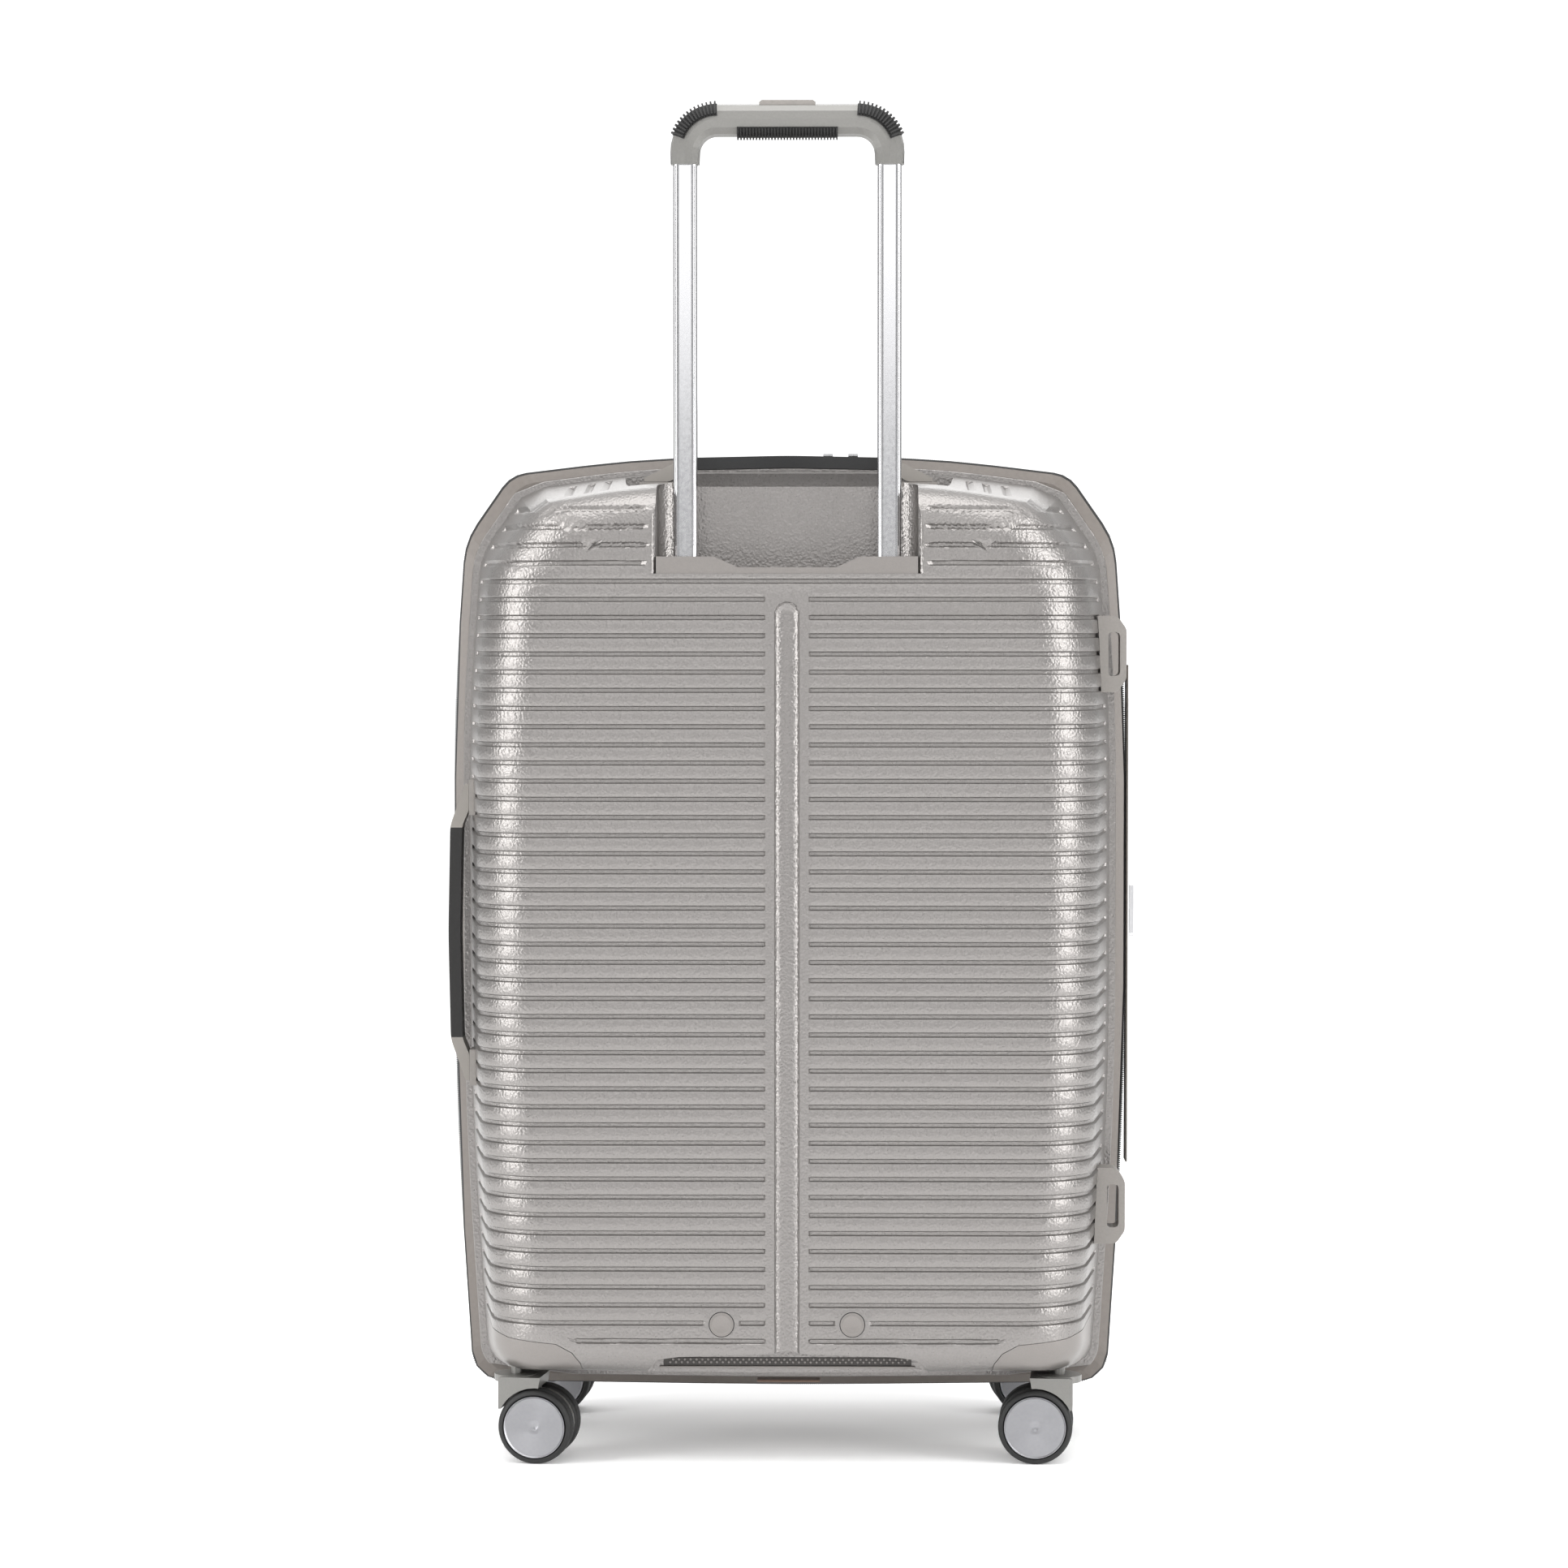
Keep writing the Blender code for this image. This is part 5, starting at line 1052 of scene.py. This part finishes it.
def build_fins(name, fins, node):
    """Many thin plates as one object that stands for a pad of the grip."""
    points, faces = [], []
    for fin_points, fin_faces in fins:
        faces += shifted(fin_faces, len(points))
        points += fin_points
    made = new_object(name, outward(mesh_from(name, points, faces)), "trolley", RUBBER)
    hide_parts(node)


def build_palm_pad():
    """The ribbed rubber pad under the grip's bar: a base and a comb of ribs."""
    def across(side, u, v, middle=0.0):
        return middle + side, GRIP_Y + u, GRIP_Z + v

    fins = [ring_fin(GRIP_RADIUS + 0.0002, GRIP_RADIUS + 0.0006, 208, 332, 0.0746, across)]
    for number in range(33):
        middle = -0.0368 + 0.0023 * number
        fins.append(ring_fin(GRIP_RADIUS + 0.0004, GRIP_RADIUS + 0.0022, 210, 330, 0.0011,
                             lambda side, u, v, m=middle: across(side, u, v, m)))
    build_fins("palm_pad_ribs", fins, "palm_pad")


def build_corner_pads():
    """The ribbed rubber pads on the outside of the grip's bends."""
    for mirror, word in ((-1, "left"), (1, "right")):
        fins = []
        for number in range(14):
            angle = math.radians(24.0 + 63.0 * number / 13)
            centre = Vector((mirror * (GRIP_TUBE_X - GRIP_BEND), GRIP_Y, GRIP_Z - GRIP_BEND))
            out = Vector((mirror * math.cos(angle), 0, math.sin(angle)))
            along = Vector((-mirror * math.sin(angle), 0, math.cos(angle)))
            share = 0.88 + 0.12 * min(1.0, math.sin(angle) * 1.2)

            def place(side, u, v, c=centre, o=out, a=along):
                return tuple(c + o * (GRIP_BEND + v) + Vector((0, u, 0)) + a * side)

            radius = GRIP_RADIUS * share
            for inner, outer, width, spread in ((0.0001, 0.0004, 0.0030, 78),
                                                (0.0002, 0.0024, 0.0012, 74)):
                fins.append(ring_fin(radius + inner, radius + outer, 90 - spread, 90 + spread,
                                     width, place))
        build_fins(f"corner_pad_ribs_{word}", fins, f"corner_pad_{word}")


build_palm_pad()
build_corner_pads()


# ---- Fine trim on the trolley ----
def trim(name, low, high, body, material):
    """A thin strip between two corners, with its edges rounded."""
    made = new_object(name, cuboid(name, low, high), None, material)
    bevelled(made, 0.3 * min(b - a for a, b in zip(low, high)))
    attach(made, body)


LINE_HALF = 0.00035  # half the width of a line on a tube
LINE_PROUD = 0.00006  # how far it stands out of the tube
PARTING_HALF = 0.0002


def build_tube_lines():
    """The two thin black strips down the faces of each trolley tube: painted shade of its
    grooves.
    """
    for word in ("left", "right"):
        low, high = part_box(f"inner_tube_{word}")
        middle = (low[0] + high[0]) / 2
        for number, offset in enumerate((-0.0070, 0.0070)):
            for face, y in (("back", low[1]), ("front", high[1])):
                # Painted shade: black strips stand in for the shadow inside the tube's grooves.
                trim(f"tube_groove_{word}_{face}_{number}",
                     (middle + offset - LINE_HALF, y - LINE_PROUD, 0.6900),
                     (middle + offset + LINE_HALF, y + LINE_PROUD, high[2] - 0.0125),
                     "trolley", BLACK)


def build_grip_lines():
    """The parting lines down the outsides of the grip's legs."""
    for mirror, word in ((-1, "left"), (1, "right")):
        for number, offset in enumerate((-0.0012, 0.0012)):
            x = mirror * (GRIP_TUBE_X + 0.88 * GRIP_RADIUS)
            low, high = sorted((x - mirror * 0.0004, x + mirror * 0.0001))
            trim(f"grip_parting_{word}_{number}",
                 (low, GRIP_Y + offset - PARTING_HALF, 0.9740),
                 (high, GRIP_Y + offset + PARTING_HALF, 0.9815), "trolley", BLACK)


build_tube_lines()
build_grip_lines()


# ---- Hand pocket ----
def build_pocket_trim():
    """The studs, ledge and fabric patch inside the pocket at the foot, with a dark strip behind
    the studs that is painted shade of the pocket's back wall.
    """
    # This dark strip is painted shade over the pocket's back wall, not a part of its own.
    trim("pocket_shade_strip", (-0.0930, POCKET_BACK - 0.0006, 0.0752),
         (0.0930, POCKET_BACK + 0.0004, 0.0815), "case", POCKET_PAINTED_SHADE)
    points, faces, sides = [], [], 10
    for z, offset in ((0.0778, 0.0), (0.0799, 0.0022)):
        for number in range(-20, 21):
            x = 0.0044 * number + offset
            start = len(points)
            for y, radius in ((POCKET_BACK - 0.0004, 0.0010), (POCKET_BACK - 0.0012, 0.0007)):
                points += [(x + u, y, z + v) for u, v in circle(radius, sides)]
            stud = loft_faces(2, sides) + [tuple(range(sides)), tuple(range(sides, 2 * sides))]
            faces += shifted(stud, start)
    mesh = outward(mesh_from("studs", points, faces))
    studs = new_object("pocket_studs", mesh, "case", SMOOTH_SHELL)
    trim("pocket_ledge", (-0.0960, POCKET_BACK - 0.0022, 0.0734),
         (0.0960, POCKET_BACK + 0.0004, 0.0752), "case", SMOOTH_SHELL)
    trim("pocket_patch", (-0.0240, -0.0700, 0.0528), (0.0240, -0.0560, 0.0542), "case", PATCH)


DISH_PROUD = 0.0008  # how far a plug's face stands out of the shell


def build_plug_rings():
    """The dark seat round each tube plug, and the plug's dished face."""
    for mirror, word in ((-1, "left"), (1, "right")):
        ring = [(0.0, 0.00895), (0.0003, 0.0093), (0.0, 0.0096), (-0.0004, 0.0093)]
        dish = [(0.0, 0.0002), (0.00005, 0.0040), (0.0004, 0.0062), (0.0005, 0.0070),
                (0.0004, 0.0076), (-0.0004, 0.0076), (-0.0004, 0.0002)]
        for part, profile, material in (("seat", ring, BLACK), ("dish", dish, SMOOTH_SHELL)):
            depth = -HALF_DEPTH - (0.0 if part == "seat" else DISH_PROUD)
            place = (Matrix.Translation((mirror * PLUG_X, depth, PLUG_Z))
                     @ Matrix.Rotation(math.pi / 2, 4, "X"))
            turned(f"plug_{part}_{word}", profile, material, place, "case", 64)


build_pocket_trim()
build_plug_rings()


# ---- Hinge strip ----
STRIP_LAYERS = (0.2604, 0.2616)  # the strip's two faces, in x
STRIP_START, STRIP_WIDTH = -0.0118, 0.0258
STRIP_FOOT, STRIP_HEIGHT = 0.2150, 0.3850


def build_hinge_strip():
    """The fabric hinge down the side, from the back's band to the front's lip."""
    rows, columns = 60, 12
    section = [(STRIP_LAYERS[0], column) for column in range(columns + 1)]
    section += [(STRIP_LAYERS[1], column) for column in range(columns, -1, -1)]
    points = [(x, STRIP_START + STRIP_WIDTH * column / columns,
               STRIP_FOOT + STRIP_HEIGHT * row / rows)
              for row in range(rows + 1) for x, column in section]
    size = len(section)
    faces = loft_faces(rows + 1, size)
    end = [(place, place + 1, size - 2 - place, size - 1 - place) for place in range(columns)]
    faces += end + shifted(end, rows * size)
    mesh = outward(mesh_from("hinge_fabric", points, faces))
    made = new_object("hinge_fabric", mesh, None, BAND)
    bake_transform(made)
    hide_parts("hinge_strip")


build_hinge_strip()

# ---- Floor, light and camera ----
def area_light(name, place, aim, size, power):
    """A soft rectangular light that faces a point."""
    data = bpy.data.lights.new(name, "AREA")
    data.shape = "RECTANGLE"
    data.size, data.size_y = size
    data.energy = power
    made = bpy.data.objects.new(name, data)
    made.location = place
    made.rotation_euler = (Vector(aim) - Vector(place)).to_track_quat("-Z", "Y").to_euler()
    bpy.context.scene.collection.objects.link(made)


def build_floor():
    """A plain pale floor."""
    half = 30.0
    points = [(-half, -half, 0), (half, -half, 0), (half, half, 0), (-half, half, 0)]
    floor = new_object("floor", mesh_from("floor", points, [(0, 1, 2, 3)]), None,
                       surface("pale_floor", (246, 246, 246), 0.75, 0.0, [], (3.0, 0.004),
                               Emission_Color=(1.0, 1.0, 1.0, 1.0), Emission_Strength=0.16))


WORLD_HORIZON = 0.50  # the strength of the world's light, low and high
WORLD_ZENITH = 1.55
CAMERA_PLACE = (0.0485, -3.449, 0.640)
CAMERA_LENS = 102.1
CAMERA_DOWN = 2.2  # degrees
CAMERA_TURN = 0.88


def build_world():
    """White behind the object, and a grey light that grows from the horizon up."""
    world = bpy.data.worlds.new("studio")
    bpy.context.scene.world = world
    world.use_nodes = True
    tree = world.node_tree
    tree.nodes.clear()
    output = new_node(tree, "OutputWorld")
    seen = new_node(tree, "Background", Color=(1.0, 1.0, 1.0, 1.0), Strength=1.3)
    around = new_node(tree, "Background")
    place, split = new_node(tree, "TexCoord"), new_node(tree, "SeparateXYZ")
    link(tree, (place, "Generated"), (split, "Vector"))
    rise = new_node(tree, "MapRange", From_Min=0.0, From_Max=0.8, To_Min=WORLD_HORIZON,
                To_Max=WORLD_ZENITH)
    link(tree, (split, "Z"), (rise, "Value"))
    link(tree, (rise, "Result"), (around, "Strength"))
    path, mix = new_node(tree, "LightPath"), new_node(tree, "MixShader")
    link(tree, (path, "Is Camera Ray"), (mix, "Fac"))
    link(tree, (around, 0), (mix, 1))
    link(tree, (seen, 0), (mix, 2))
    link(tree, (mix, 0), (output, "Surface"))


def build_camera():
    """A long lens behind the case, a little above its middle."""
    data = bpy.data.cameras.new("camera")
    data.lens = CAMERA_LENS
    data.sensor_width = 36.0
    data.clip_end = 100.0
    camera = bpy.data.objects.new("camera", data)
    camera.location = CAMERA_PLACE
    camera.rotation_euler = (math.radians(90.0 - CAMERA_DOWN), 0.0, math.radians(CAMERA_TURN))
    bpy.context.scene.collection.objects.link(camera)
    bpy.context.scene.camera = camera


build_floor()
build_world()
build_camera()
area_light("left_panel", (-2.3, -1.3, 1.1), (0, 0, 0.4), (0.9, 2.6), 50)
area_light("right_panel", (2.3, -1.3, 1.1), (0, 0, 0.4), (0.9, 2.6), 50)
area_light("top_panel", (0.0, -0.6, 3.0), (0, 0, 0.4), (2.4, 2.0), 45)
area_light("front_fill", (0.0, -5.0, 2.3), (0, 0, 0.5), (3.0, 2.6), 34)
area_light("far_fill", (0.0, 3.4, 1.9), (0, 0, 0.5), (2.5, 2.0), 26)
bpy.context.scene.view_settings.view_transform = "Standard"
